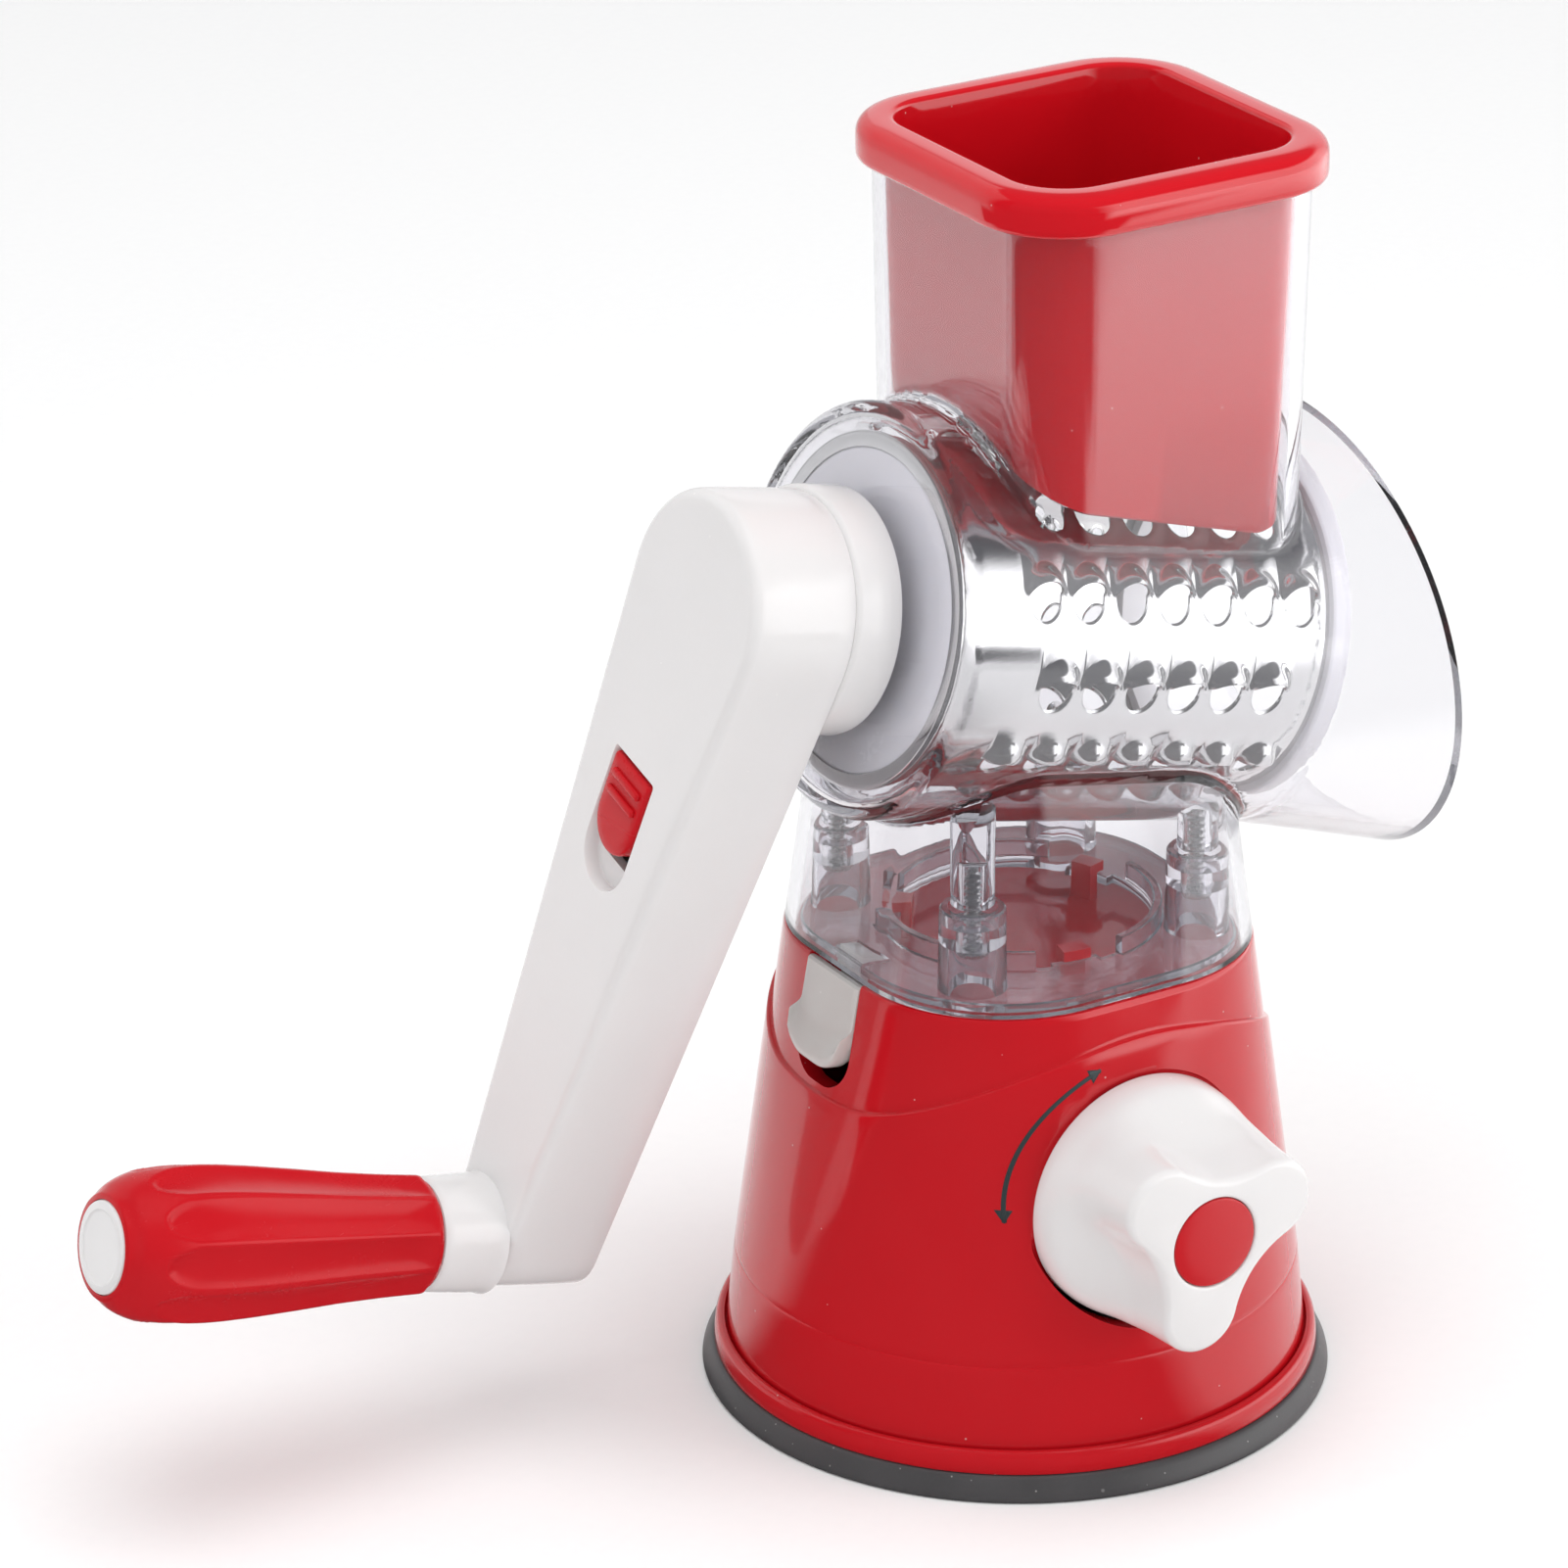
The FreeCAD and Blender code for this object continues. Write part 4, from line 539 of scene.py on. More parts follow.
MATERIAL_MAKERS = {
    "red": lambda s: plastic("red_moulding", s.red, 0.13, 0.35, 0.012),
    "red_grip": lambda s: plastic("red_grip_moulding", s.red, 0.25, 0.08, 0.02, gloss=0.25),
    "red_small": lambda s: plastic("red_small_moulding", s.red, 0.2, 0.2, 0.05),
    "red_button": lambda s: plastic("red_button_moulding", s.red, 0.25, 0.05, 0.03, gloss=0.25),
    "red_pusher": lambda s: plastic("red_pusher_moulding", s.pusher_red, 0.07, 0.5, 0.002),
    "white": lambda s: plastic("white_moulding", s.white, 0.2, 0.25, 0.03, 0.006, 0.06, 1.03),
    # The hub white has a faint lavender cast of its own and is painted paler than the crank's white: painted
    # light that makes up for the shade inside the clear housing.
    "white_hub": lambda s: plastic("white_hub_moulding", s.hub_white_painted_paler, 0.25, 0.15, 0.05, 0.006, 0.1, 1.03),
    "latch": lambda s: plastic("grey_latch_moulding", s.latch_grey, 0.22, 0.2, 0.06, 0.01),
    "inner": lambda s: plastic("inner_moulding", (0.62, 0.60, 0.57), 0.35, 0.05, 0.1, 0.01),
    "ink": lambda s: plastic("dark_ink", (0.030, 0.045, 0.048), 0.35, 0.1, 0.1, 0.0),
    "clear": lambda s: clear_plastic("clear_moulding", s.clear_tint, 0.008),
    "clear_plate": lambda s: clear_plastic("clear_plate_moulding", (0.935, 0.93, 0.96), 0.045),
    "drum": lambda s: metal("drum_sheet_steel", s.steel, 0.09, 0.06, 120.0),
    "screw": lambda s: metal("zinc_plated_steel", (0.62, 0.62, 0.60), 0.28, 0.12, 400.0, (1.0, 1.0, 1.0)),
    "spring": lambda s: metal("spring_wire", (0.50, 0.50, 0.49), 0.22, 0.1, 800.0, (1.0, 1.0, 1.0)),
    "rubber": lambda s: rubber("black_rubber_moulding"),
}


# ------------------------------------------------------------------ suction base
def wall_radius(angle, height):
    """The base's upper wall: round at the step line, a rounded square at the rim."""
    share = (height - FOOT_LINE) / (RIM_HEIGHT - FOOT_LINE)
    return FOOT_LINE_RADIUS + (square_radius(RIM_HALF, RIM_CORNER, angle) - FOOT_LINE_RADIUS) * share


def crown_height(angle):
    """Where the saddle-shaped line crosses the wall in one direction."""
    height = 85.0
    for _ in range(12):
        across = (wall_radius(angle, height) + 0.5) * math.cos(angle)
        height = SADDLE_CENTRE + math.sqrt(SADDLE_RADIUS ** 2 - across ** 2)
    return height


def base_section(angle):
    """One closed wall section of the base, from the foot band up and back down inside."""
    points = [(60.0, 5.2), (61.9, 5.2), (62.3, 5.3), (62.5, 5.7), (62.4, 7.4), (62.2, 8.8), (61.95, 9.4),
              (61.5, 9.85), (60.9, 10.0), (60.4, 9.9), (60.2, 9.5), (60.15, 8.9), (60.0, 8.6),
              (59.85, 8.9), (59.8, 9.6), (59.75, 10.6)]
    points += [(59.72 - (59.72 - 58.15) * i / 8, 11.0 + (26.3 - 11.0) * i / 8) for i in range(9)]
    points += [(58.05, 26.7), (57.95, 26.9), (58.0, 27.2)]
    crown = crown_height(angle)
    low, high = 28.0, crown - 0.7
    points += [(wall_radius(angle, up) + SADDLE_PROUD, up)
               for up in (low + (high - low) * i / 22 for i in range(23))]
    for out, up in ((0.86, -0.4), (0.72, -0.18), (0.5, -0.05), (0.2, 0.02), (0.03, 0.1), (0.0, 0.35)):
        points.append((wall_radius(angle, crown + up) + out, crown + up))
    low, high = crown + 0.9, 97.7
    points += [(wall_radius(angle, up), up) for up in (low + (high - low) * i / 10 for i in range(11))]
    edge = wall_radius(angle, RIM_HEIGHT)
    points += [(edge - 0.02, 98.1), (edge - 0.2, 98.42), (edge - 0.55, RIM_HEIGHT),
               (edge - 1.9, RIM_HEIGHT), (edge - 2.25, 98.4), (edge - 2.4, 98.1), (edge - 2.4, 96.2),
               (edge - 2.8, 95.6), (edge - 3.6, 95.5), (30.0, 95.5), (1.0, 95.5)]
    inner = edge - 2.6 - 1.1
    under = [(1.0, 92.5), (inner, 92.5), (54.6, 27.0), (57.4, 11.2), (57.4, 8.5), (59.0, 8.3), (59.0, 5.2)]
    return under + points


def build_base(settings):
    """Red base with its band, saddle line, deck hooks, knob seat and latch slot."""
    steps = settings.round_steps * 2
    angles = [TAU * i / steps for i in range(steps)]
    columns = [base_section(angle) for angle in angles]
    bm = bmesh.new()
    rings = [[Vector((reach * math.cos(angle), reach * math.sin(angle), up))
              for angle, (reach, up) in zip(angles, row)] for row in zip(*columns)]
    loft(bm, rings)
    shell = to_mesh(bm, "red_base")
    hooks = bmesh.new()
    for angle in BAYONET_ANGLES:
        arc_block(hooks, [(22.2, 95), (24.4, 95), (24.4, 101.1), (26.4, 101.1), (26.4, 103.2),
                          (22.2, 103.2)], angle - 6, angle + 6, 0.3)
    combine(shell, [to_mesh(hooks, "hooks")], "UNION")
    seat = turned("knob_seat_cutter", [(0, 47.1), (25.4, 47.1)] + fillet(25.4, 47.7, 0.6, 270, 360, 3)[1:]
                  + [(26.4, 60), (0, 60)], KNOB, 128)
    cutter = bmesh.new()
    outline = [(p.x, p.y + (9.0 if p.y > 0 else -9.0) - 5.5) for p in square_points(9.75, 8.0, 0, 0, 6, 10)]
    loft(cutter, [[Vector((x, side, up)) for side, up in outline] for x in (-6, 6)])
    slot = to_mesh(cutter, "latch_slot_cutter", LATCH)
    combine(shell, [seat, slot], "DIFFERENCE")
    sharpen(shell, 32)
    place_piece(shell, "base", ["base_shell"], material("red"))


def wall_point(side, up, lift):
    """A point on the front of the base's wall, side along X and up along Z, lifted off it."""
    angle = -math.pi / 2
    for _ in range(8):
        across = wall_radius(angle, up) + (SADDLE_PROUD if up < crown_height(angle) else 0.0)
        angle = -math.acos(max(-1.0, min(1.0, side / across)))
    across += lift
    return Vector((across * math.cos(angle), across * math.sin(angle), up))


def build_mark():
    """Printed arc with an arrowhead at each end, beside the suction knob."""
    radius, first, last = 29.4, 107.0, 182.0
    bm = bmesh.new()

    def strip(stations):
        rows = []
        for turn, half in stations:
            row = []
            for reach in (-half, -half / 3, half / 3, half):
                angle = math.radians(turn)
                side = KNOB_CENTRE[0] + (radius + reach) * math.cos(angle)
                up = KNOB_CENTRE[1] + (radius + reach) * math.sin(angle)
                row.append(bm.verts.new(wall_point(side, up, 0.03)))
            rows.append(row)
        for low, high in zip(rows, rows[1:]):
            for i in range(3):
                bm.faces.new((low[i], low[i + 1], high[i + 1], high[i]))

    strip([(first + (last - first) * i / 60, 0.42) for i in range(61)])
    strip([(first - 0.4 + 5.4 * i / 8, 0.05 + 1.5 * i / 8) for i in range(9)])
    strip([(last + 0.4 - 5.4 * i / 8, 0.05 + 1.5 * i / 8) for i in range(9)])
    mark = to_mesh(bm, "turn_arrow")
    film = mark.modifiers.new("film", "SOLIDIFY")
    film.thickness = 0.05 * MM
    film.offset = 0.0
    bake(mark)
    place_piece(mark, "base", [], material("ink"))


def build_cup(settings):
    """Black suction cup with a feathered rim and a bead inside the base."""
    profile = [(4.3, 7.9), (4.3, 6.8), (9.2, 6.7), (9.2, 3.0), (0.0, 3.0), (0.0, 1.6), (14, 1.6), (22, 1.0),
               (56.2, 0.7), (57.5, 0.15), (58.4, 0.0), (64.2, 0.0), (64.8, 0.25), (65.0, 0.7), (64.85, 1.4),
               (64.3, 2.6), (63.6, 3.9), (63.1, 4.7), (62.7, 5.05), (62.2, 5.15), (58.8, 5.1), (58.8, 8.0),
               (57.4, 8.1), (57.4, 3.2), (22, 3.2), (14, 4.4), (12.4, 7.6), (11.8, 7.9)]
    cup = turned_piece("rubber_cup", profile, WORLD, settings.round_steps * 2)
    place_piece(cup, "base", ["suction_cup"], material("rubber"))


# ------------------------------------------------------------------ knob
# height, lobe reach, valley depth and tip radius of the knob's outline
KNOB_SECTIONS = ((7.5, 24.9, 24.2, 20.0), (12.0, 24.8, 19.4, 13.0), (17.0, 24.4, 15.7, 10.0),
                 (25.4, 24.0, 13.3, 8.5))


def star_radius(angle, lobe, valley, tip):
    """Outline of the three-lobed grip: round tips joined by hollow sides."""
    turn = (angle - math.radians(20)) % (TAU / 3)
    turn = min(turn, TAU / 3 - turn)
    reach = lobe - tip
    side = (reach ** 2 + valley ** 2 - reach * valley - tip ** 2) / (2 * tip + reach - 2 * valley)
    far = side + valley
    spot = Vector((reach, 0))
    hollow = Vector((far * math.cos(math.pi / 3), far * math.sin(math.pi / 3)))
    join = spot + (hollow - spot) * tip / (tip + side)
    if turn <= math.atan2(join.y, join.x):
        return reach * math.cos(turn) + math.sqrt(tip ** 2 - (reach * math.sin(turn)) ** 2)
    swing = math.pi / 3 - turn
    return far * math.cos(swing) - math.copysign(math.sqrt(side ** 2 - (far * math.sin(swing)) ** 2), side)


def knob_outlines(angle):
    """Heights up the knob with its radius there, in one direction: a round skirt that turns into a star."""
    stars = [(height, star_radius(angle, *shape)) for height, *shape in KNOB_SECTIONS]
    return [(0.0, 25.3), (4.5, 25.25), *stars, (30.0, stars[-1][1])]


def between(stops, value):
    """Straight-line reading of a list of (position, value) stops."""
    for (low, first), (high, second) in zip(stops, stops[1:]):
        if value <= high:
            return first + (second - first) * max(0.0, value - low) / (high - low)
    return stops[-1][1]


def build_knob(settings):
    """White knob: a round skirt that runs up into three lobes with scooped sides."""
    steps = settings.round_steps * 2
    angles = [TAU * i / steps for i in range(steps)]
    bm = bmesh.new()
    rings = [circle_ring(8.5, 48.0, steps), circle_ring(8.5, 52.6, steps), circle_ring(21.9, 52.6, steps),
             circle_ring(22.6, KNOB_BACK, steps)]
    outlines = [knob_outlines(angle) for angle in angles]
    # height from the back plane, inward shift
    rows = [(0.0, 0.5), (0.25, 0.12), (0.7, 0.0), (3.0, 0.0), (5.0, 0.0), (6.4, 0.0)]
    rows += [(7.0 + 0.6 * i, 0.0) for i in range(18)]
    rows += [(18.5, 0.0), (21.0, 0.0), (23.5, 0.0), (25.2, 0.0)]
    rows += [(25.4 + 1.8 * math.sin(math.pi / 2 * i / 6), 1.8 * (1 - math.cos(math.pi / 2 * i / 6)))
             for i in range(1, 7)]
    for up, shift in rows:
        ring = []
        for angle, stops in zip(angles, outlines):
            radius = sum(between(stops, up + step) for step in (-1.2, -0.6, 0.0, 0.6, 1.2)) / 5 - shift
            ring.append(Vector((radius * math.cos(angle), radius * math.sin(angle), KNOB_BACK + up)))
        rings.append(ring)
    for radius, height in ((10.3, 74.8), (9.9, 74.75), (9.62, 74.45), (9.6, 70.4), (4.6, 70.4),
                           (4.6, 66.0)):
        rings.append(circle_ring(radius, height, steps))
    loft(bm, rings)
    knob = to_mesh(bm, "white_knob", KNOB)
    sharpen(knob, 50)
    place_piece(knob, "knob", ["knob", "knob_screw"], material("white"))
    cap = turned_piece("red_knob_cap", [(0, 72.4), (9.45, 72.4), (9.45, 74.3)]
                       + fillet(9.0, 74.2, 0.45, 0, 90, 4) + [(6, 74.74), (0, 74.8)], KNOB, 96)
    place_piece(cap, "knob", ["knob_cap"], material("red_small"))


# ------------------------------------------------------------------ latch
def build_latch():
    """Grey push-down tab whose foot curls outwards under the thumb."""
    profile = [(1.6, -0.6), (0.9, -0.4), (-0.1, -0.4), (-0.6, -0.9), (-0.6, -11.6), (-0.9, -13.2),
               (-1.7, -15.0), (-2.7, -16.6), (-3.1, -17.6), (-3.1, -18.6), (-2.7, -19.3), (-1.9, -19.6),
               (0.8, -19.6), (1.6, -19.0)]
    half_width, foot_corner, steps = 9.6, 7.0, 24
    bm = bmesh.new()
    rings = []
    for i in range(steps + 1):
        y = -half_width + 2 * half_width * i / steps
        reach = half_width - abs(y)
        lift = foot_corner - math.sqrt(max(0.0, foot_corner ** 2 - max(0.0, foot_corner - reach) ** 2))
        soft = 0.4 * max(0.0, 1 - reach / 0.5)
        ring = []
        for x, z in profile:
            share = min(1.0, max(0.0, (-z - 8.0) / 11.6))
            ring.append(Vector((x + (soft if x < 0 else 0), y, z + lift * share)))
        rings.append(ring)
    loft(bm, rings)
    box(bm, (1.4, -4.5, -11.5), (7.5, 4.5, -8.6), 0.4)
    box(bm, (4.5, -4.5, -9.4), (6.8, 4.5, 3.6), 0.5)
    box(bm, (4.6, -4.4, 2.7), (9.0, 4.4, 3.8), 0.3)
    latch = to_mesh(bm, "grey_latch", LATCH)
    sharpen(latch, 40)
    place_piece(latch, "latch", ["latch"], material("latch"))


def build_spring(name, body, nodes, radius, wire, turns, length, place):
    """A round wire coil drawn as a swept tube."""
    steps, around, up = int(turns * 20), 8, Vector((0, 0, 1))
    bm = bmesh.new()
    rings = []
    for i in range(steps + 1):
        angle = TAU * turns * i / steps
        centre = Vector((radius * math.cos(angle), radius * math.sin(angle), length * i / steps))
        out = Vector((math.cos(angle), math.sin(angle), 0))
        spokes = [TAU * k / around for k in range(around)]
        rings.append([centre + (out * math.cos(spoke) + up * math.sin(spoke)) * wire for spoke in spokes])
    loft(bm, rings)
    place_piece(to_mesh(bm, name, place), body, nodes, material("spring"))


# ------------------------------------------------------------------ clear body
ROUND_FORM_STEPS = 160
HOOD_NORMAL = Vector((math.cos(math.radians(HOOD_LEAN)), 0, math.sin(math.radians(HOOD_LEAN))))
# how near a point of the skin has to be to an ideal wall, or to a rounded edge, to be laid on it
WALL_REACH, EDGE_REACH = 0.32, 2.2


def joined(name, makers, voxel, smooth):
    """Several overlapping closed forms melted into one skin with soft inner corners."""
    bm = bmesh.new()
    for maker in makers:
        maker(bm)
    thing = to_mesh(bm, name)
    remesh = thing.modifiers.new("melt", "REMESH")
    remesh.mode = "VOXEL"
    remesh.voxel_size = voxel
    remesh.use_smooth_shade = True
    soften = thing.modifiers.new("soften", "SMOOTH")
    soften.factor = 0.5
    soften.iterations = smooth
    bake(thing)
    return thing


def rod_profile(radius, low, high):
    """Half the outline of a plain round rod."""
    return [(0, low), (radius, low), (radius, high), (0, high)]


def drum_form(profile, steps):
    """A maker of a closed form turned round the drum's axis."""
    def make(bm):
        piece = bmesh.new()
        spin(piece, profile, steps)
        bmesh.ops.transform(piece, matrix=DRUM, verts=piece.verts)
        pour(piece, bm)
    return make


def housing_form(inset, front, back):
    """A maker of the housing's round body, inset from its outer wall."""
    return drum_form(rod_profile(HOUSING_RADIUS - inset, front, back), ROUND_FORM_STEPS)


def hood_form(inset, overlap):
    """A maker of the hood: circles that lean over from the housing's end to the mouth and grow."""
    def make(bm):
        first = [DRUM @ p
                 for p in circle_ring(HOUSING_RADIUS - inset, HOUSING_BACK - 1.0, ROUND_FORM_STEPS)]
        mouth = Matrix.Translation(Vector(HOOD_MOUTH) + HOOD_NORMAL * overlap) @ Matrix.Rotation(
            math.radians(90 - HOOD_LEAN), 4, "Y")
        radius = HOOD_RADIUS - inset + overlap * 0.25
        last = [mouth @ p for p in circle_ring(radius, 0, ROUND_FORM_STEPS)]
        loft(bm, [[a.lerp(b, i / 12) for a, b in zip(first, last)] for i in range(13)])
    return make


def square_form(inset, low, high, across=0.0):
    """Loft between two rounded squares given as (half, corner, height)."""
    def make(bm):
        rings = []
        for i in range(9):
            share = i / 8
            half, corner, height = (a + (b - a) * share for a, b in zip(low, high))
            rings.append(square_points(half - inset, corner - inset, height, across, 20, 20))
        loft(bm, rings)
    return make


def settle(thing, targets):
    """Lays the melted skin's points that are nearly on an ideal wall exactly on it."""
    for vert in thing.data.vertices:
        point = vert.co / MM
        best, off = None, 1.0
        for target in targets:
            ideal, reach = target(point)
            away = (ideal - point).length / reach
            if away < off:
                best, off = ideal, away
        if best is not None:
            keep = max(0.0, (off - 0.5) / 0.5)
            vert.co = best.lerp(point, keep * keep * (3 - 2 * keep)) * MM


def housing_wall(inset, front, soften):
    """Nearest point of the housing's turned wall and of its rounded front end."""
    back = DRUM.inverted()
    radius = HOUSING_RADIUS - inset

    def near(point):
        spot = back @ point
        reach = math.hypot(spot.x, spot.y)
        turn = math.atan2(spot.y, spot.x)
        out, down = reach - (radius - soften), (front + soften) - spot.z
        if out > 0 and down > 0:
            span = math.hypot(out, down)
            out, down = out / span * soften, down / span * soften
            limit = EDGE_REACH
        elif radius - reach < spot.z - front:
            out, limit = soften, WALL_REACH
        else:
            down, limit = soften, WALL_REACH
        reach, along = radius - soften + out, front + soften - down
        return DRUM @ Vector((reach * math.cos(turn), reach * math.sin(turn), along)), limit
    return near


def square_wall(inset, low, high, across=0.0):
    """Nearest point, level with it, of a loft between two rounded squares."""
    def near(point):
        share = (point.z - low[2]) / (high[2] - low[2])
        half, corner = (a + (b - a) * share - inset for a, b in zip(low[:2], high[:2]))
        straight = half - corner
        x, y = abs(point.x - across), abs(point.y)
        if x > straight and y > straight:
            span = math.hypot(x - straight, y - straight)
            x = straight + (x - straight) / span * corner
            y = straight + (y - straight) / span * corner
        elif x - half > y - half:
            x = half
        else:
            y = half
        side = across + math.copysign(x, point.x - across)
        return Vector((side, math.copysign(y, point.y), point.z)), WALL_REACH
    return near


def cut_plane(thing, point, normal):
    """Cuts off what lies beyond a plane and closes the cut."""
    bm = bmesh.new()
    bm.from_mesh(thing.data)
    geometry = bm.verts[:] + bm.edges[:] + bm.faces[:]
    made = bmesh.ops.bisect_plane(bm, geom=geometry, plane_co=Vector(point) * MM, plane_no=normal,
                                  clear_outer=True)
    edges = [e for e in made["geom_cut"] if isinstance(e, bmesh.types.BMEdge)]
    bmesh.ops.holes_fill(bm, edges=edges, sides=0)
    bm.to_mesh(thing.data)
    bm.free()


def build_clear_body(settings):
    """Feed tube, drum housing, hood and skirt as one clear moulding."""
    voxel, wall = settings.melt, round(settings.clear_wall / MM, 5)
    inner_front = -38.3
    # half width, corner radius and height at each end of the square walls
    tube_low, tube_high, tube_room_high = (33.2, 13.0, 160.0), (34.67, 13.0, 260.3), (34.75, 13.0, 264.0)
    skirt_low, skirt_high = (43.57, 32.4, 94.8), (33.7, 17.5, 154.0)
    outer = joined("clear_housing", [
        housing_form(0, HOUSING_FRONT, HOUSING_BACK), drum_form(rod_profile(10.5, -45, -38.5), 96),
        hood_form(0, 5.0), square_form(0, skirt_low, skirt_high),
        square_form(0, tube_low, tube_high, TUBE_CENTRE)], voxel, 3)
    settle(outer, [housing_wall(0, HOUSING_FRONT, 2.2), square_wall(0, skirt_low, skirt_high),
                   square_wall(0, tube_low, tube_high, TUBE_CENTRE)])
    cut_plane(outer, (0, 0, 256.3), (0, 0, 1))
    cut_plane(outer, (0, 0, 98.8), (0, 0, -1))
    cut_plane(outer, DRUM @ Vector((0, 0, -44.2)), DRUM.to_3x3() @ Vector((0, 0, -1)))
    cut_plane(outer, HOOD_MOUTH, HOOD_NORMAL)
    room = joined("skirt_room", [square_form(wall, skirt_low, skirt_high)], voxel, 3)
    settle(room, [square_wall(wall, skirt_low, skirt_high)])
    guard = joined("skirt_guard", [housing_form(0, -60, 60), hood_form(0, 5.0)], voxel, 2)
    combine(room, [guard], "DIFFERENCE")
    inner = joined("clear_room", [
        housing_form(wall, inner_front, HOUSING_BACK), hood_form(wall, 8.0),
        square_form(wall, tube_low, tube_room_high, TUBE_CENTRE)], voxel, 4)
    settle(inner, [housing_wall(wall, inner_front, 1.6),
                   square_wall(wall, tube_low, tube_room_high, TUBE_CENTRE)])
    bore = turned("bore", rod_profile(7.55, -50, -36), DRUM, 96)
    combine(outer, [room, inner, bore], "DIFFERENCE")
    groove = turned("groove", [(9.0, -42.8), (12.0, -42.8), (12.0, -40.8), (9.0, -40.8)], DRUM, 96)
    combine(outer, [groove], "DIFFERENCE")
    bosses = []
    for x, y in SCREW_CORNERS:
        boss = turned("boss", [(1.9, 118.4), (3.9, 118.4), (4.3, 118.8), (4.4, 150), (0, 150), (0, 128),
                               (1.9, 127.5)], Matrix.Translation((x, y, 0)), 48)
        drum_space = bmesh.new()
        housing_form(1.0, -45.0, HOUSING_BACK)(drum_space)
        bosses.append(combine(boss, [to_mesh(drum_space, "drum_space")], "DIFFERENCE"))
    combine(outer, bosses, "UNION")
    sharpen(outer, 38)
    place_piece(outer, "base", ["clear_body"], material("clear"))


def build_plate():
    """Clear floor with its bayonet ring, four screw cups and the latch window."""
    bm = bmesh.new()
    half, corner, low, high, steps, start = 39.7, 28.8, 98.65, 100.65, 160, -math.pi / 4
    rings = [circle_ring(26.8, low, steps, start)]
    for radius, height in ((half - 0.3, low), (half, 98.95), (half, 100.35), (half - 0.3, high)):
        ring = []
        for i in range(steps):
            angle = start + TAU * i / steps
            reach = square_radius(radius, corner, angle)
            ring.append(Vector((reach * math.cos(angle), reach * math.sin(angle), height)))
        rings.append(ring)
    for radius, height in ((29.0, high), (28.6, 101.0), (28.6, 104.3), (28.3, 104.6), (27.1, 104.6),
                           (26.8, 104.3)):
        rings.append(circle_ring(radius, height, steps, start))
    loft(bm, rings, closed=True)
    plate = to_mesh(bm, "clear_floor")
    gaps = bmesh.new()
    tabs = bmesh.new()
    for angle in BAYONET_ANGLES:
        arc_block(gaps, [(25.5, high), (30.5, high), (30.5, 106), (25.5, 106)], angle - 19, angle + 19)
        arc_block(tabs, [(24.85, low), (27.4, low), (27.4, high), (24.85, high)],
                  angle - 11, angle + 11, 0.2)
    cups, wells = [], []
    for x, y in SCREW_CORNERS:
        spot = Matrix.Translation((x, y, 0))
        cups.append(turned("cup", [(0, 98.9), (7.2, 98.9), (6.75, 101.2), (6.45, 117.6), (6.1, 118.0),
                                   (0, 118.0)], spot, 64))
        for size in ((4.7, 96, 110), (4.9, 114.5, 120), (2.1, 108, 117)):
            wells.append(turned("well", rod_profile(*size), spot, 48))
    combine(plate, [to_mesh(gaps, "gaps")], "DIFFERENCE")
    combine(plate, [to_mesh(tabs, "tabs")] + cups, "UNION")
    window = bmesh.new()
    box(window, (-38.9, -5.2, 97), (-33.5, 5.2, 104))
    combine(plate, wells + [to_mesh(window, "window")], "DIFFERENCE")
    sharpen(plate, 35)
    place_piece(plate, "base", ["body_plate"], material("clear_plate"))


def threaded(bm, radius, depth, pitch, low, high):
    """A screw shank whose thread is drawn into the rings of a cylinder."""
    around, rows = 24, int((high - low) / pitch * 6)
    rings = []
    for row in range(rows + 1):
        z = low + (high - low) * row / rows
        fade = min(1.0, (high - z) / 1.5, (z - low) / 0.8 + 0.2)
        ring = []
        for i in range(around):
            angle = TAU * i / around
            phase = ((z / pitch) - i / around) % 1.0
            crest = max(0.0, 1 - abs(phase - 0.5) * 3.4)
            reach = (radius - depth + depth * crest) * (0.55 + 0.45 * max(0.0, fade))
            ring.append(Vector((reach * math.cos(angle), reach * math.sin(angle), z)))
        rings.append(ring)
    loft(bm, rings)


def cross_cutters(place, reach, half, low, high):
    """Two crossed blades that cut the recess of a cross-head screw."""
    blades = []
    for long_x, long_y in ((reach, half), (half, reach)):
        bm = bmesh.new()
        box(bm, (-long_x, -long_y, low), (long_x, long_y, high))
        blades.append(to_mesh(bm, "blade", place))
    return blades


def build_screws():
    """The four cross-head screws seen inside the clear posts."""
    for i, (x, y) in enumerate(SCREW_CORNERS):
        bm = bmesh.new()
        threaded(bm, 1.85, 0.55, 1.4, 109.4, 126.8)
        spin(bm, [(0, 107.9), (1.2, 107.7), (3.0, 107.9), (3.6, 108.8), (3.6, 109.6), (3.2, 109.95),
                  (0, 109.95)], 48)
        spot = Matrix.Translation((x, y, 0))
        screw = to_mesh(bm, "body_screw_%d" % i, spot)
        sharpen(screw, 30)
        blades = cross_cutters(spot @ Matrix.Rotation(0.6 + i, 4, "Z"), 2.2, 0.35, 107.0, 108.9)
        combine(screw, blades, "DIFFERENCE")
        place_piece(screw, "base", ["body_screws"] if i == 0 else [], material("screw"))


# ------------------------------------------------------------------ pusher
def arch_height(x, y, radius):
    """Height of the pusher's arched floor over the drum at a point."""
    up = -25.0 + math.sqrt(radius ** 2 - y ** 2)
    tilt = math.radians(AXIS_TILT)
    along = (x - up * math.sin(tilt)) / math.cos(tilt)
    droop = 4.0 * min(1.0, max(0.0, (x + 15) / 61)) * (y / 30) ** 2
    return AXIS_HEIGHT + up * math.cos(tilt) - along * math.sin(tilt) - droop


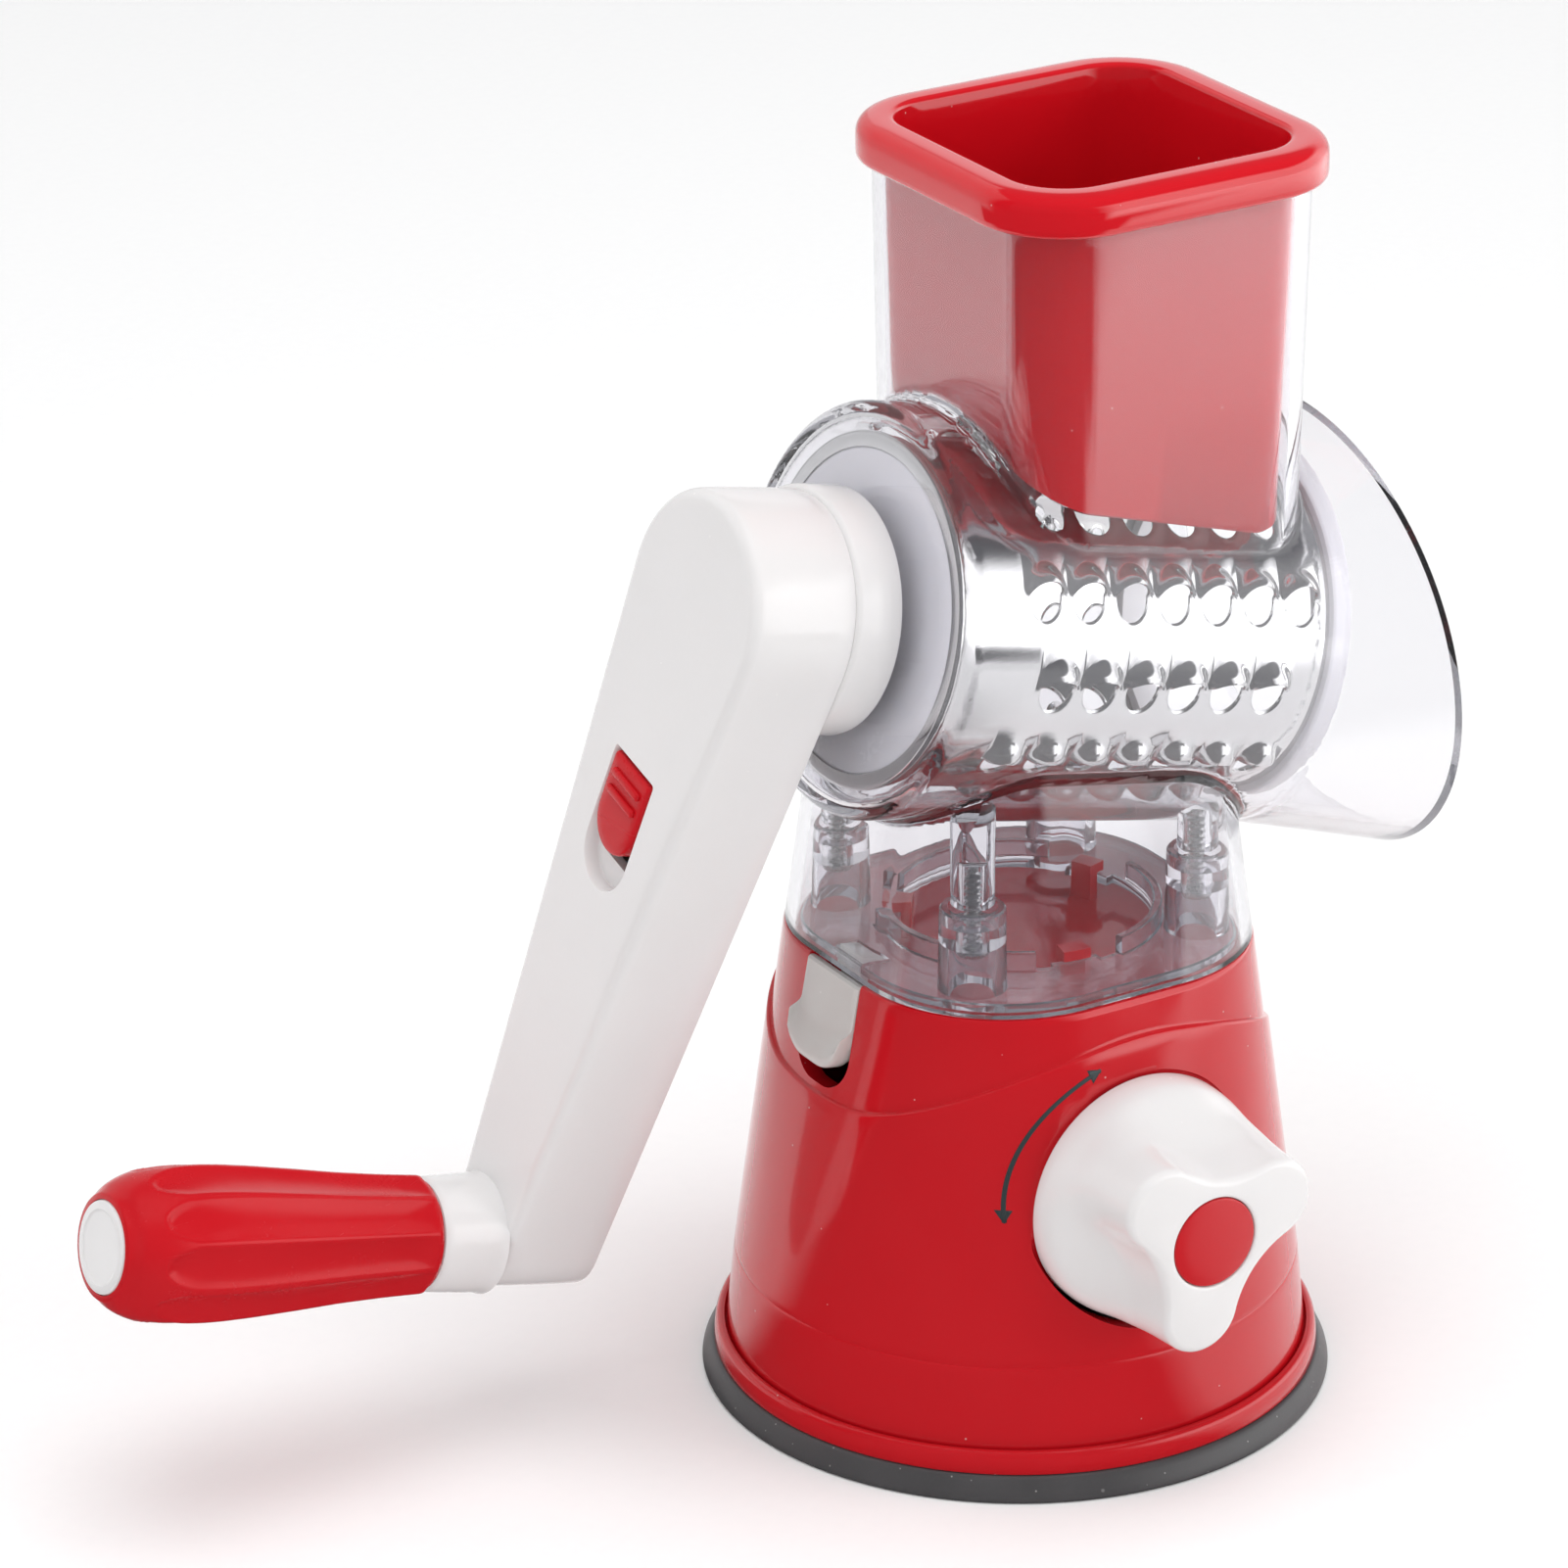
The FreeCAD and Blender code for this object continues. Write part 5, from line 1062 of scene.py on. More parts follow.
def build_pusher():
    """Red square cup with a rolled lip and a floor arched over the drum."""
    under, over = 63.0, 65.2

    def ring(half, corner, height):
        return square_points(half, corner, height, TUBE_CENTRE, 14, 16)

    def half_at(height):
        return 29.6 + (31.6 - 29.6) * (height - 172.0) / (256.6 - 172.0)

    def floor_ring(points, share, radius):
        spots = [(TUBE_CENTRE + (p.x - TUBE_CENTRE) * share, p.y * share) for p in points]
        return [Vector((x, y, arch_height(x, y, radius))) for x, y in spots]

    foot = ring(30.0, 11.0, 190)
    rings = [floor_ring(foot, share, under) for share in (0.3, 0.6, 0.85)]
    bottom = [Vector((p.x, p.y, arch_height(p.x, p.y, under))) for p in foot]
    rings.append([Vector((TUBE_CENTRE + (p.x - TUBE_CENTRE) * 0.975, p.y * 0.975, p.z + 0.05))
                  for p in bottom])
    rings.append([p + Vector((0, 0, 0.7)) for p in bottom])
    for height in (214, 222, 230, 238, 246, 252, 255.6):
        rings.append(ring(half_at(height), 11.0, height))
    rings.append(ring(31.8, 11.2, 256.3))
    rings += [ring(32.6, 12.0, 256.6), ring(37.4, 18.2, 256.6), ring(38.2, 19.0, 256.8),
              ring(38.6, 19.4, 257.4), ring(38.7, 19.5, 258.3), ring(38.7, 19.5, 261.2),
              ring(38.55, 19.35, 262.4), ring(38.15, 18.95, 263.3), ring(37.5, 18.3, 264.0),
              ring(36.7, 17.5, 264.45), ring(35.6, 16.4, 264.72), ring(34.4, 15.2, 264.8),
              ring(32.4, 13.2, 264.8), ring(31.6, 12.5, 264.7), ring(31.2, 12.1, 264.4),
              ring(31.0, 11.9, 263.9), ring(30.5, 11.2, 258.0)]
    for height in (250, 240, 230, 222, 214):
        rings.append(ring(half_at(height) - 2.2, 9.0, height))
    inner = ring(27.9, 8.8, 190)
    rings.append([Vector((p.x, p.y, arch_height(p.x, p.y, over) + 1.0)) for p in inner])
    rings += [floor_ring(inner, share, over) for share in (0.96, 0.8, 0.5, 0.25)]
    bm = bmesh.new()
    loft(bm, rings)
    pusher = to_mesh(bm, "red_pusher")
    sharpen(pusher, 50)
    place_piece(pusher, "pusher", ["pusher"], material("red_pusher"))


# ------------------------------------------------------------------ drum
CELL_SIDE, CELL_END = 12, 12
DRUM_ROWS, DRUM_RADIUS, CELL_PITCH = 12, 34.5, 10.3
ROW_ANGLE = TAU / DRUM_ROWS
ROW_START, SCOOP_CENTRE = 204.0, 11.9
DRUM_MOUTH, PLAIN_FRONT = 50.0, 11.5
# scale of the mouth, share of the hood's rise, share of the sheet's dip below it
HOLE_RINGS = ((1.0, 1.0, 1.0), (1.06, 0.99, 0.85), (1.15, 0.94, 0.5), (1.27, 0.82, 0.2), (1.40, 0.62, 0.05),
              (1.54, 0.37, 0.0), (1.70, 0.13, 0.0), (1.86, 0.0, 0.0))


def on_drum(up, along, lift):
    """A point of the drum face: up is measured round it, along lies on its axis."""
    angle = up / DRUM_RADIUS
    return Vector(((DRUM_RADIUS + lift) * math.cos(angle), (DRUM_RADIUS + lift) * math.sin(angle), along))


def cell_border(along):
    """The rim of one scoop's patch of sheet, counter-clockwise from its lower left."""
    half_up, half_along = DRUM_RADIUS * ROW_ANGLE / 2, CELL_PITCH / 2
    ends = [2 * half_along * i / CELL_END for i in range(CELL_END)]
    sides = [2 * half_up * i / CELL_SIDE for i in range(CELL_SIDE)]
    points = [(-half_up, -half_along + step) for step in ends]
    points += [(-half_up + step, half_along) for step in sides]
    points += [(half_up, half_along - step) for step in ends]
    points += [(half_up - step, -half_along) for step in sides]
    return [(up, along + offset) for up, offset in points]


def scoop_patch(bm, turn, along, height):
    """Sheet round one punched mouth, its upper edge raised into a hood."""
    border = cell_border(along)
    rings = []
    for scale, rise, dip in HOLE_RINGS:
        ring = []
        for up, spot in border:
            angle = math.atan2(-up, (spot - along) * 1.7)
            top = max(0.0, math.sin(angle))
            across = 3.75 * (1 + (scale - 1) * 0.45) * math.cos(angle)
            stretch = 2.2 + (scale - 1) * 5.4 if top > 0 else 5.0 * (1 + (scale - 1) * 0.4)
            down = 0.2 - stretch * math.sin(angle)
            lift = height * top ** 0.8 * rise - 0.35 * max(0.0, -math.sin(angle)) * dip
            ring.append(on_drum(down, along + across, lift))
        rings.append(ring)
    rings.append([on_drum(up, spot, 0.0) for up, spot in border])
    rings = [[turn @ p for p in ring] for ring in rings]
    loft(bm, rings, False, False)


def plain_patch(bm, turn, low, high, columns):
    """Unpunched sheet of one row between two distances along the drum."""
    half_up = DRUM_RADIUS * ROW_ANGLE / 2
    rows = []
    for i in range(columns + 1):
        spot = low + (high - low) * i / columns
        rows.append([bm.verts.new(turn @ on_drum(-half_up + 2 * half_up * k / CELL_SIDE, spot, 0.0))
                     for k in range(CELL_SIDE + 1)])
    for first, second in zip(rows, rows[1:]):
        for k in range(CELL_SIDE):
            bm.faces.new((first[k], first[k + 1], second[k + 1], second[k]))


def build_drum(settings):
    """Bright sheet drum with staggered rows of scoops, crimped over the white hub."""
    bm = bmesh.new()
    edge_low, edge_high = SCOOP_CENTRE - CELL_PITCH * 3.5, SCOOP_CENTRE + CELL_PITCH * 3.5
    for row in range(DRUM_ROWS):
        turn = Matrix.Rotation(math.radians(90 - ROW_START - 360 // DRUM_ROWS * row), 4, "Z")
        even = row % 2 == 0
        count = 7 if even else 6
        first = SCOOP_CENTRE - CELL_PITCH * (count - 1) / 2
        for i in range(count):
            scoop_patch(bm, turn, first + CELL_PITCH * i, settings.scoop_rise / MM)
        low, high = first - CELL_PITCH / 2, first + CELL_PITCH * (count - 0.5)
        if not even:
            plain_patch(bm, turn, edge_low, low, CELL_END // 2)
            plain_patch(bm, turn, high, edge_high, CELL_END // 2)
        plain_patch(bm, turn, edge_low - PLAIN_FRONT, edge_low, 9)
        plain_patch(bm, turn, edge_high, DRUM_MOUTH, 2)
    bmesh.ops.remove_doubles(bm, verts=bm.verts, dist=0.02)
    # radius and height of the crimp that is drawn inwards from the sheet's front edge
    crimp = ((35.0, -36.3), (35.3, -36.8), (35.3, -37.5), (35.0, -37.9), (34.3, -37.95), (33.0, -37.95),
             (32.15, -37.9))
    border = [e for e in bm.edges if e.is_boundary and all(v.co.z < -35.5 for v in e.verts)]
    for radius, height in crimp:
        made = bmesh.ops.extrude_edge_only(bm, edges=border)["geom"]
        border = [g for g in made if isinstance(g, bmesh.types.BMEdge)]
        for vert in [g for g in made if isinstance(g, bmesh.types.BMVert)]:
            angle = math.atan2(vert.co.y, vert.co.x)
            vert.co = Vector((radius * math.cos(angle), radius * math.sin(angle), height))
    drum = to_mesh(bm, "steel_drum", DRUM)
    sheet = drum.modifiers.new("sheet", "SOLIDIFY")
    sheet.thickness = settings.sheet
    sheet.offset = -1.0
    sheet.use_even_offset = False
    bake(drum)
    sharpen(drum, 55)
    place_piece(drum, "crank", ["drum_shell"], material("drum"))


def build_drum_fittings(settings):
    """White hub disc, outlet ring and the drive shaft."""
    steps = settings.round_steps
    hub = turned_piece("drum_hub_disc", [
        (0, -37.4), (8.2, -37.4), (8.2, -37.9), (31.4, -37.9), (31.9, -37.6), (31.95, -37.2),
        (33.75, -37.2),
        (33.75, -29.8), (33.4, -29.5), (31.9, -29.5), (31.6, -29.8), (31.4, -35.0), (11.4, -35.3),
        (10.9, -34.6), (10.6, -17.9), (10.2, -17.5), (8.0, -17.5), (7.4, -17.8), (7.2, -34.0), (0, -34.0)],
        DRUM, steps)
    place_piece(hub, "crank", ["drum_hub"], material("white_hub"))
    ribs = bmesh.new()
    for i in range(6):
        piece = bmesh.new()
        box(piece, (10.7, -0.8, -35.2), (31.6, 0.8, -30.6), 0.25)
        bmesh.ops.transform(piece, matrix=Matrix.Rotation(i * TAU / 6, 4, "Z"), verts=piece.verts)
        pour(piece, ribs)
    ribs = to_mesh(ribs, "drum_hub_ribs", DRUM)
    sharpen(ribs)
    place_piece(ribs, "crank", [], material("white_hub"))
    ring = turned_piece("drum_outlet_ring", [
        (31.6, 47.6), (31.9, 47.4), (33.5, 47.4), (33.8, 47.7), (33.8, 50.1), (35.8, 50.1), (36.1, 50.4),
        (36.2, 50.8), (36.2, 53.2), (36.0, 54.0), (35.5, 54.4), (34.8, 54.55), (33.0, 54.55), (32.3, 54.4),
        (31.8, 53.9), (31.6, 53.2)], DRUM, steps)
    place_piece(ring, "crank", ["drum_ring"], material("white_hub"))
    shaft = turned_piece("drive_shaft_journal", [
        (0, -73), (6.9, -73), (7.5, -72.3), (7.5, -38.9), (7.1, -38.5), (6.8, -38.5), (6.5, -21),
        (0, -20.5)],
        DRUM, 64)
    place_piece(shaft, "crank", ["drive_shaft"], material("white_hub"))


# ------------------------------------------------------------------ crank
def slot_ring(grow, start, end, height):
    """Outline with a square top and a round foot, along the arm."""
    half = 7.5 + grow
    low, high = start - grow, end + grow - half
    corner = 0.8
    points = []

    def arc(x, y, radius, first, last, count):
        for i in range(count):
            angle = first + (last - first) * i / (count - 1)
            points.append(Vector((x + radius * math.cos(angle), y + radius * math.sin(angle), height)))

    arc(low + corner, half - corner, corner, math.pi, math.pi / 2, 5)
    steps = [(high - low - corner) * i / 6 for i in range(1, 6)]
    points.extend(Vector((low + corner + step, half, height)) for step in steps)
    arc(high, 0, half, math.pi / 2, -math.pi / 2, 25)
    points.extend(Vector((high - step, -half, height)) for step in steps)
    arc(low + corner, -half + corner, corner, -math.pi / 2, -math.pi, 5)
    return points


def build_crank(settings):
    """White arm with rounded edges, button recess, hub cup and the neck for the grip."""
    steps = 220
    outer = [(1.0, -55.0), (0.35, -55.0), (0.1, -55.1), (0.0, -55.5), (-0.05, -60.0), (0.0, -66.0),
             (0.1, -72.0), (0.25, -75.2)]
    for i in range(9):
        angle = math.pi / 2 * i / 8
        outer.append((0.3 + 2.5 * (1 - math.cos(angle)), -75.5 - 2.5 * math.sin(angle)))
    outer += [(4.0, -78.03), (6.0, -78.07), (8.5, -78.1), (10.6, -78.12)]
    bm = bmesh.new()
    loft(bm, [taper_ring(shrink, height, steps) for shrink, height in outer])
    arm = to_mesh(bm, "white_crank_arm", CRANK)
    room = bmesh.new()
    loft(room, [taper_ring(2.4, z, steps) for z in (-54.0, -64.0, -72.6)])
    room = to_mesh(room, "arm_room", CRANK)
    recess = bmesh.new()
    loft(recess, [slot_ring(grow, 36.5, 63.5, height) for grow, height in (
        (-0.15, -74.9), (0.1, -75.2), (0.25, -77.4), (0.6, -78.2), (1.4, -79.0))])
    recess = to_mesh(recess, "arm_recess", CRANK)
    window = bmesh.new()
    box(window, (39.5, -4.3, -77), (58.5, 4.3, -70))
    window = to_mesh(window, "arm_window", CRANK)
    combine(arm, [room, recess, window], "DIFFERENCE", "EXACT")
    sharpen(arm, 32)
    place_piece(arm, "crank", ["crank_arm"], material("white"))
    hub = turned_piece("crank_hub_cup", [
        (7.55, -74.0), (9.8, -74.0), (10.0, -57.0), (20.8, -57.0), (20.9, -55.2), (23.6, -55.0),
        (24.2, -54.6), (24.5, -53.9), (24.5, -45.6), (24.3, -45.0), (23.8, -44.9), (22.6, -44.9),
        (22.3, -45.3), (22.1, -54.4), (21.4, -55.0), (10.4, -55.1), (10.0, -54.4), (9.9, -45.6),
        (9.5, -45.2), (7.9, -45.2), (7.55, -45.6)], DRUM, settings.round_steps)
    place_piece(hub, "crank", [], material("white"))
    neck = turned_piece("crank_neck", [
        (4.1, -60.5), (7.2, -60.5), (7.2, -77.0), (12.6, -77.6), (12.35, -78.6), (12.2, -79.8),
        (12.15, -82.0), (11.75, -89.6), (11.6, -90.8), (11.2, -91.6), (10.4, -91.95), (4.1, -91.95)],
        GRIP, 96)
    place_piece(neck, "crank", [], material("white"))
    bm = bmesh.new()
    loft(bm, [taper_ring(2.6, -55.5, steps), taper_ring(2.55, -55.15, steps),
              taper_ring(2.75, -55.0, steps)], False, True)
    bmesh.ops.holes_fill(bm, edges=[e for e in bm.edges if e.is_boundary], sides=0)
    cover = to_mesh(bm, "crank_cover", CRANK)
    combine(cover, [turned("hub_room", rod_profile(24.9, -60, -50), CRANK, 128)], "DIFFERENCE", "EXACT")
    sharpen(cover)
    place_piece(cover, "crank", ["arm_cover"], material("white"))
    for i, (x, y) in enumerate(((38.0, 13.6), (38.0, -13.6), (122.0, 0.0))):
        spot = CRANK @ Matrix.Translation((x, y, 0))
        screw = turned("arm_screw_%d" % i, [
            (0, -55.1), (2.7, -55.1), (2.8, -54.9), (2.7, -54.2), (2.0, -53.6), (1.0, -53.35), (0, -53.3)],
            spot, 32)
        blades = cross_cutters(spot @ Matrix.Rotation(0.5 * i, 4, "Z"), 1.7, 0.3, -54.1, -52.0)
        combine(screw, blades, "DIFFERENCE")
        sharpen(screw, 30)
        place_piece(screw, "crank", ["arm_screws"] if i == 0 else [], material("screw"))


def build_button():
    """Red thumb slide with a square top, a round foot and two grip ridges."""
    bm = bmesh.new()
    loft(bm, [slot_ring(grow, 36.8, 56.0, height) for grow, height in (
        (-0.1, -75.4), (-0.1, -77.6), (-0.2, -77.95), (-0.45, -78.25), (-0.9, -78.4), (-2.6, -78.45))])
    for x in (39.6, 43.4):
        box(bm, (x, -5.4, -79.3), (x + 1.7, 5.4, -78.2), 0.5, 3)
    box(bm, (40.2, -3.8, -76.0), (50.2, 3.8, -71.4), 0.3)
    button = to_mesh(bm, "red_release_button", CRANK)
    sharpen(button, 45)
    place_piece(button, "release", ["release_button"], material("red_button"))
    bm = bmesh.new()
    box(bm, (11.6, -3.2, -71.2), (52.0, 3.2, -69.2), 0.4)
    box(bm, (11.6, -3.2, -71.2), (13.8, 3.2, -41.3), 0.4)
    box(bm, (9.6, -3.0, -42.4), (13.6, 3.0, -41.35), 0.3)
    box(bm, (50.4, -3.2, -71.2), (52.0, 3.2, -65.6), 0.4)
    bolt = to_mesh(bm, "release_bolt_slide", CRANK)
    sharpen(bolt)
    place_piece(bolt, "release", ["release_bolt"], material("inner"))


# distance from the grip's inner end and radius there, without the flutes
GRIP_PROFILE = ((0, 11.6), (0.8, 12.4), (4, 12.55), (10, 12.85), (20, 13.6), (30, 14.65), (40, 15.6),
                (47, 16.1), (52, 16.25), (56, 16.1), (60, 15.6), (64, 14.6), (67, 13.4), (69, 12.1),
                (70.0, 11.0), (70.6, 10.0))
GRIP_FLUTES, GRIP_START = 10, -92.3


def build_grip(settings):
    """Red turning handle with ten shallow finger flutes and a white end cap."""
    steps, rows = 200, 90
    bm = bmesh.new()
    heights = [0, 0.25, 0.5, 0.8, 1.5] + [2 + 66 * i / rows for i in range(rows + 1)]
    heights += [68.6, 69.1, 69.6, 70.0, 70.35, 70.6]
    rings = [circle_ring(4.1, -92.4, steps), circle_ring(11.0, -92.4, steps)]
    for height in heights:
        radius = 0.0
        for offset in (-1.5, -0.75, 0, 0.75, 1.5):
            near = min(max(height + offset * min(1.0, height / 4), 0), 70.6)
            radius += between(GRIP_PROFILE, near) / 5
        depth = settings.flute_depth / MM * min(1.0, max(0.0, height / 7.0)) ** 0.5
        ring = []
        for i in range(steps):
            angle = TAU * i / steps
            across = (angle / TAU * GRIP_FLUTES + 0.5) % 1.0 - 0.5
            end = max(0.0, min(1.0, (63.5 - height) / 7.5))
            width = 0.44 * math.sqrt(max(0.0, 1 - (1 - end) ** 2))
            hollow = max(0.0, 1 - (across / width) ** 2) if width > 0.01 else 0.0
            reach = radius - depth * hollow ** 0.8 * min(1.0, width / 0.3)
            ring.append(Vector((reach * math.cos(angle), reach * math.sin(angle), GRIP_START - height)))
        rings.append(ring)
    rings += [circle_ring(9.5, -163.0, steps), circle_ring(9.45, -160.2, steps),
              circle_ring(4.1, -160.0, steps)]
    loft(bm, rings)
    grip = to_mesh(bm, "red_grip", GRIP)
    sharpen(grip, 60)
    place_piece(grip, "grip", ["grip", "grip_screw", "grip_spindle"], material("red_grip"))
    cap = turned_piece("white_grip_cap", [
        (0, -160.4), (9.3, -160.4), (9.4, -160.7), (9.4, -162.8), (9.2, -163.3), (8.6, -163.5),
        (7.6, -163.55), (7.3, -163.3), (6.9, -163.25), (0, -163.35)], GRIP, 96)
    place_piece(cap, "grip", ["grip_cap"], material("white"))


def build_springs():
    """Return springs of the latch and of the release slide."""
    build_spring("latch_return_spring", "base", ["latch_spring"], 2.1, 0.4, 3.0, 5.2,
                 Matrix.Translation((-41.1, 0, 79.65)))
    build_spring("release_return_spring", "crank", ["release_spring"], 1.5, 0.35, 5.0, 11.8,
                 CRANK @ Matrix.Translation((53.2, 0, -67.6)) @ Matrix.Rotation(math.radians(90), 4, "Y"))


def finish_inner():
    """Gives the hidden CAD parts that stay as they are their finishes."""
    finishes = {"cup_retainer": "inner", "base_screws": "screw", "pull_rod": "inner",
                "cam_shaft": "white_hub"}
    for node, label in finishes.items():
        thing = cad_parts[node]
        thing.data.materials.clear()
        thing.data.materials.append(material(label))


# ------------------------------------------------------------------ studio
# where the camera stands, in degrees round from -Y and metres, how it is turned in degrees, and its
# focal length as a number of picture pixels
CAMERA_ANGLE, CAMERA_DISTANCE, CAMERA_HEIGHT = -33.1831, 1.2709, 0.6817
CAMERA_YAW, CAMERA_PITCH, CAMERA_ROLL = 2.1265, 23.515, -0.4264
FOCAL_PIXELS, PICTURE_PIXELS = 7041.81, 1601
# how far the table's sweep is turned, and the shadow side's direction across the floor
SWEEP_TURN = 31
FRONT = Vector((-0.775, -0.632, 0.0))


def build_camera():
    """The camera at its measured stand, level but for its roll."""
    stand, bearing = math.radians(CAMERA_ANGLE), math.radians(CAMERA_ANGLE + CAMERA_YAW)
    down, roll = math.radians(CAMERA_PITCH), math.radians(CAMERA_ROLL)
    forward = Vector((-math.sin(bearing) * math.cos(down), math.cos(bearing) * math.cos(down),
                      -math.sin(down)))
    right = forward.cross(Vector((0, 0, 1))).normalized()
    up = right.cross(forward)
    tilted_right = right * math.cos(roll) + up * math.sin(roll)
    tilted_up = up * math.cos(roll) - right * math.sin(roll)
    data = bpy.data.cameras.new("front_camera")
    camera = bpy.data.objects.new("front_camera", data)
    bpy.context.scene.collection.objects.link(camera)
    turn = Matrix((tilted_right, tilted_up, -forward)).transposed().to_4x4()
    spot = Vector((math.sin(stand) * CAMERA_DISTANCE, -math.cos(stand) * CAMERA_DISTANCE, CAMERA_HEIGHT))
    camera.matrix_world = Matrix.Translation(spot) @ turn
    data.sensor_width = 36.0
    data.lens = FOCAL_PIXELS / PICTURE_PIXELS * 36.0
    data.clip_start = 0.05
    bpy.context.scene.camera = camera


def area_light(name, spot, aim, size, power, colour):
    """A soft box that lights the set and isn't seen in mirrors or through clear parts."""
    data = bpy.data.lights.new(name, "AREA")
    data.shape = "RECTANGLE"
    data.size, data.size_y = size
    data.energy = power
    data.color = colour
    light = bpy.data.objects.new(name, data)
    bpy.context.scene.collection.objects.link(light)
    light.location = spot
    light.visible_glossy = light.visible_transmission = False
    light.rotation_euler = (Vector(aim) - Vector(spot)).to_track_quat("-Z", "Y").to_euler()


def front_mask(tree, place, start, blur, turned):
    """One beyond a line square to FRONT turned by some degrees, nought on this side of it."""
    front = Matrix.Rotation(math.radians(turned), 3, "Z") @ FRONT
    level = add_node(tree, "ShaderNodeVectorMath", {0: place, 1: tuple(front)}, operation="DOT_PRODUCT")
    return spread(tree, level.outputs["Value"], start, start + blur)


def build_air(settings):
    """Even light from all round, with a dark side that only mirrors and clear parts see."""
    world = bpy.data.worlds.new("studio_air")
    world.use_nodes = True
    air = world.node_tree
    back = air.nodes["Background"]
    direction = add_node(air, "ShaderNodeTexCoord").outputs["Generated"]
    path = add_node(air, "ShaderNodeLightPath").outputs
    height = add_node(air, "ShaderNodeSeparateXYZ", {0: direction}).outputs["Z"]
    dark = maths(air, "MAXIMUM", front_mask(air, direction, 0.2, 0.35, 0),
                 spread(air, height, 0.40, 0.52))
    bright = mix_colour(air, front_mask(air, direction, 0.25, 0.35, 90), (0.85, 0.85, 0.87, 1),
                        (1.9, 1.9, 1.91, 1))
    mirrored = mix_colour(air, dark, bright, (0.12, 0.12, 0.13, 1))
    mirrored = mix_colour(air, maths(air, "GREATER_THAN", path["Glossy Depth"], 1.5), mirrored,
                          (0.5, 0.5, 0.52, 1))
    scattered = mix_colour(air, path["Is Transmission Ray"], (settings.air, settings.air, settings.air, 1),
                           (1.5, 1.5, 1.5, 1))
    seen = mix_colour(air, maths(air, "MINIMUM", path["Glossy Depth"], 1.0), (1.0, 1.0, 1.0, 1), mirrored)
    seen = mix_colour(air, maths(air, "MINIMUM", path["Diffuse Depth"], 1.0), seen, scattered)
    air.links.new(seen, back.inputs["Color"])
    back.inputs["Strength"].default_value = 1.0
    bpy.context.scene.world = world


def build_studio(settings):
    """Pale table, painted dark in front and glowing far off where only mirrors see it, soft boxes, air and
    the camera.
    """
    bm = bmesh.new()
    rings = []
    for y, z in ((-4.0, 0.0), (2.2, 0.0), (3.0, 0.1), (3.5, 0.45), (3.7, 1.0), (3.7, 5.0)):
        rings.append([bm.verts.new((x, y, z)) for x in (-5.0, 5.0)])
    for low, high in zip(rings, rings[1:]):
        bm.faces.new((low[0], low[1], high[1], high[0]))
    mesh = bpy.data.meshes.new("studio_sweep")
    bm.to_mesh(mesh)
    bm.free()
    for polygon in mesh.polygons:
        polygon.use_smooth = True
    sweep = bpy.data.objects.new("studio_sweep", mesh)
    sweep.rotation_euler = (0, 0, math.radians(SWEEP_TURN))
    bpy.context.scene.collection.objects.link(sweep)
    paper, tree, shader = blank_material("studio_paper")
    place = add_node(tree, "ShaderNodeTexCoord").outputs["Object"]
    grain = add_node(tree, "ShaderNodeTexNoise", {"Vector": place, "Scale": 300.0,
                                                  "Detail": 2.0}).outputs["Fac"]
    pale = mix_colour(tree, grain, (0.93, 0.93, 0.935, 1), (0.96, 0.96, 0.96, 1))
    path = add_node(tree, "ShaderNodeLightPath").outputs
    once = maths(tree, "COMPARE", path["Glossy Depth"], 1.0)
    mirrored = maths(tree, "MULTIPLY", once, maths(tree, "LESS_THAN", path["Diffuse Depth"], 0.5))
    away = add_node(tree, "ShaderNodeVectorMath", {0: place}, operation="LENGTH").outputs["Value"]
    aside = add_node(tree, "ShaderNodeVectorMath", {0: place}, operation="NORMALIZE").outputs["Vector"]
    # Where mirrors see the floor in front of the shredder it is painted near black: a painted dark
    # reflection.
    near = maths(tree, "MULTIPLY", front_mask(tree, place, 0.075, 0.03, -SWEEP_TURN), maths(
        tree, "MULTIPLY", spread(tree, away, 0.5, 0.56), spread(tree, away, 0.9, 1.1, 1.0, 0.0)))
    front = maths(tree, "MAXIMUM", near, front_mask(tree, aside, 0.25, 0.2, -SWEEP_TURN))
    shade = maths(tree, "MULTIPLY", front, mirrored)
    tree.links.new(mix_colour(tree, shade, pale, (0.06, 0.06, 0.065, 1)), shader.inputs["Base Color"])
    # Further off, mirrors see the floor glow: painted light that shows as bright reflections in glossy
    # parts.
    far = maths(tree, "MULTIPLY", spread(tree, away, 0.45, 0.95),
                spread(tree, front, 0.0, 1.0, 1.0, 0.0))
    far = maths(tree, "MULTIPLY", far, front_mask(tree, aside, 0.2, 0.3, 90 - SWEEP_TURN))
    tree.links.new(maths(tree, "MULTIPLY", far, mirrored), shader.inputs["Emission Strength"])
    shader.inputs["Emission Color"].default_value = (1.4, 1.4, 1.41, 1)
    shader.inputs["Roughness"].default_value = 0.75
    mesh.materials.append(paper)
    power = settings.key_power
    area_light("key_right", (1.65, -1.53, 0.66), (0, 0, 0.15), (1.3, 1.24), power * 0.76, (1.0, 0.99, 0.98))
    area_light("fill_left", (-1.8, -0.9, 0.9), (0, 0, 0.15), (1.2, 1.2), power * 0.23, (0.98, 0.985, 1.0))
    area_light("top", (-0.1, -0.2, 2.1), (0, 0, 0.1), (1.8, 1.8), power * 1.1, (1.0, 1.0, 1.0))
    build_air(settings)
    build_camera()
    view = bpy.context.scene.view_settings
    view.view_transform, view.look, view.exposure = "Standard", "None", 0.0


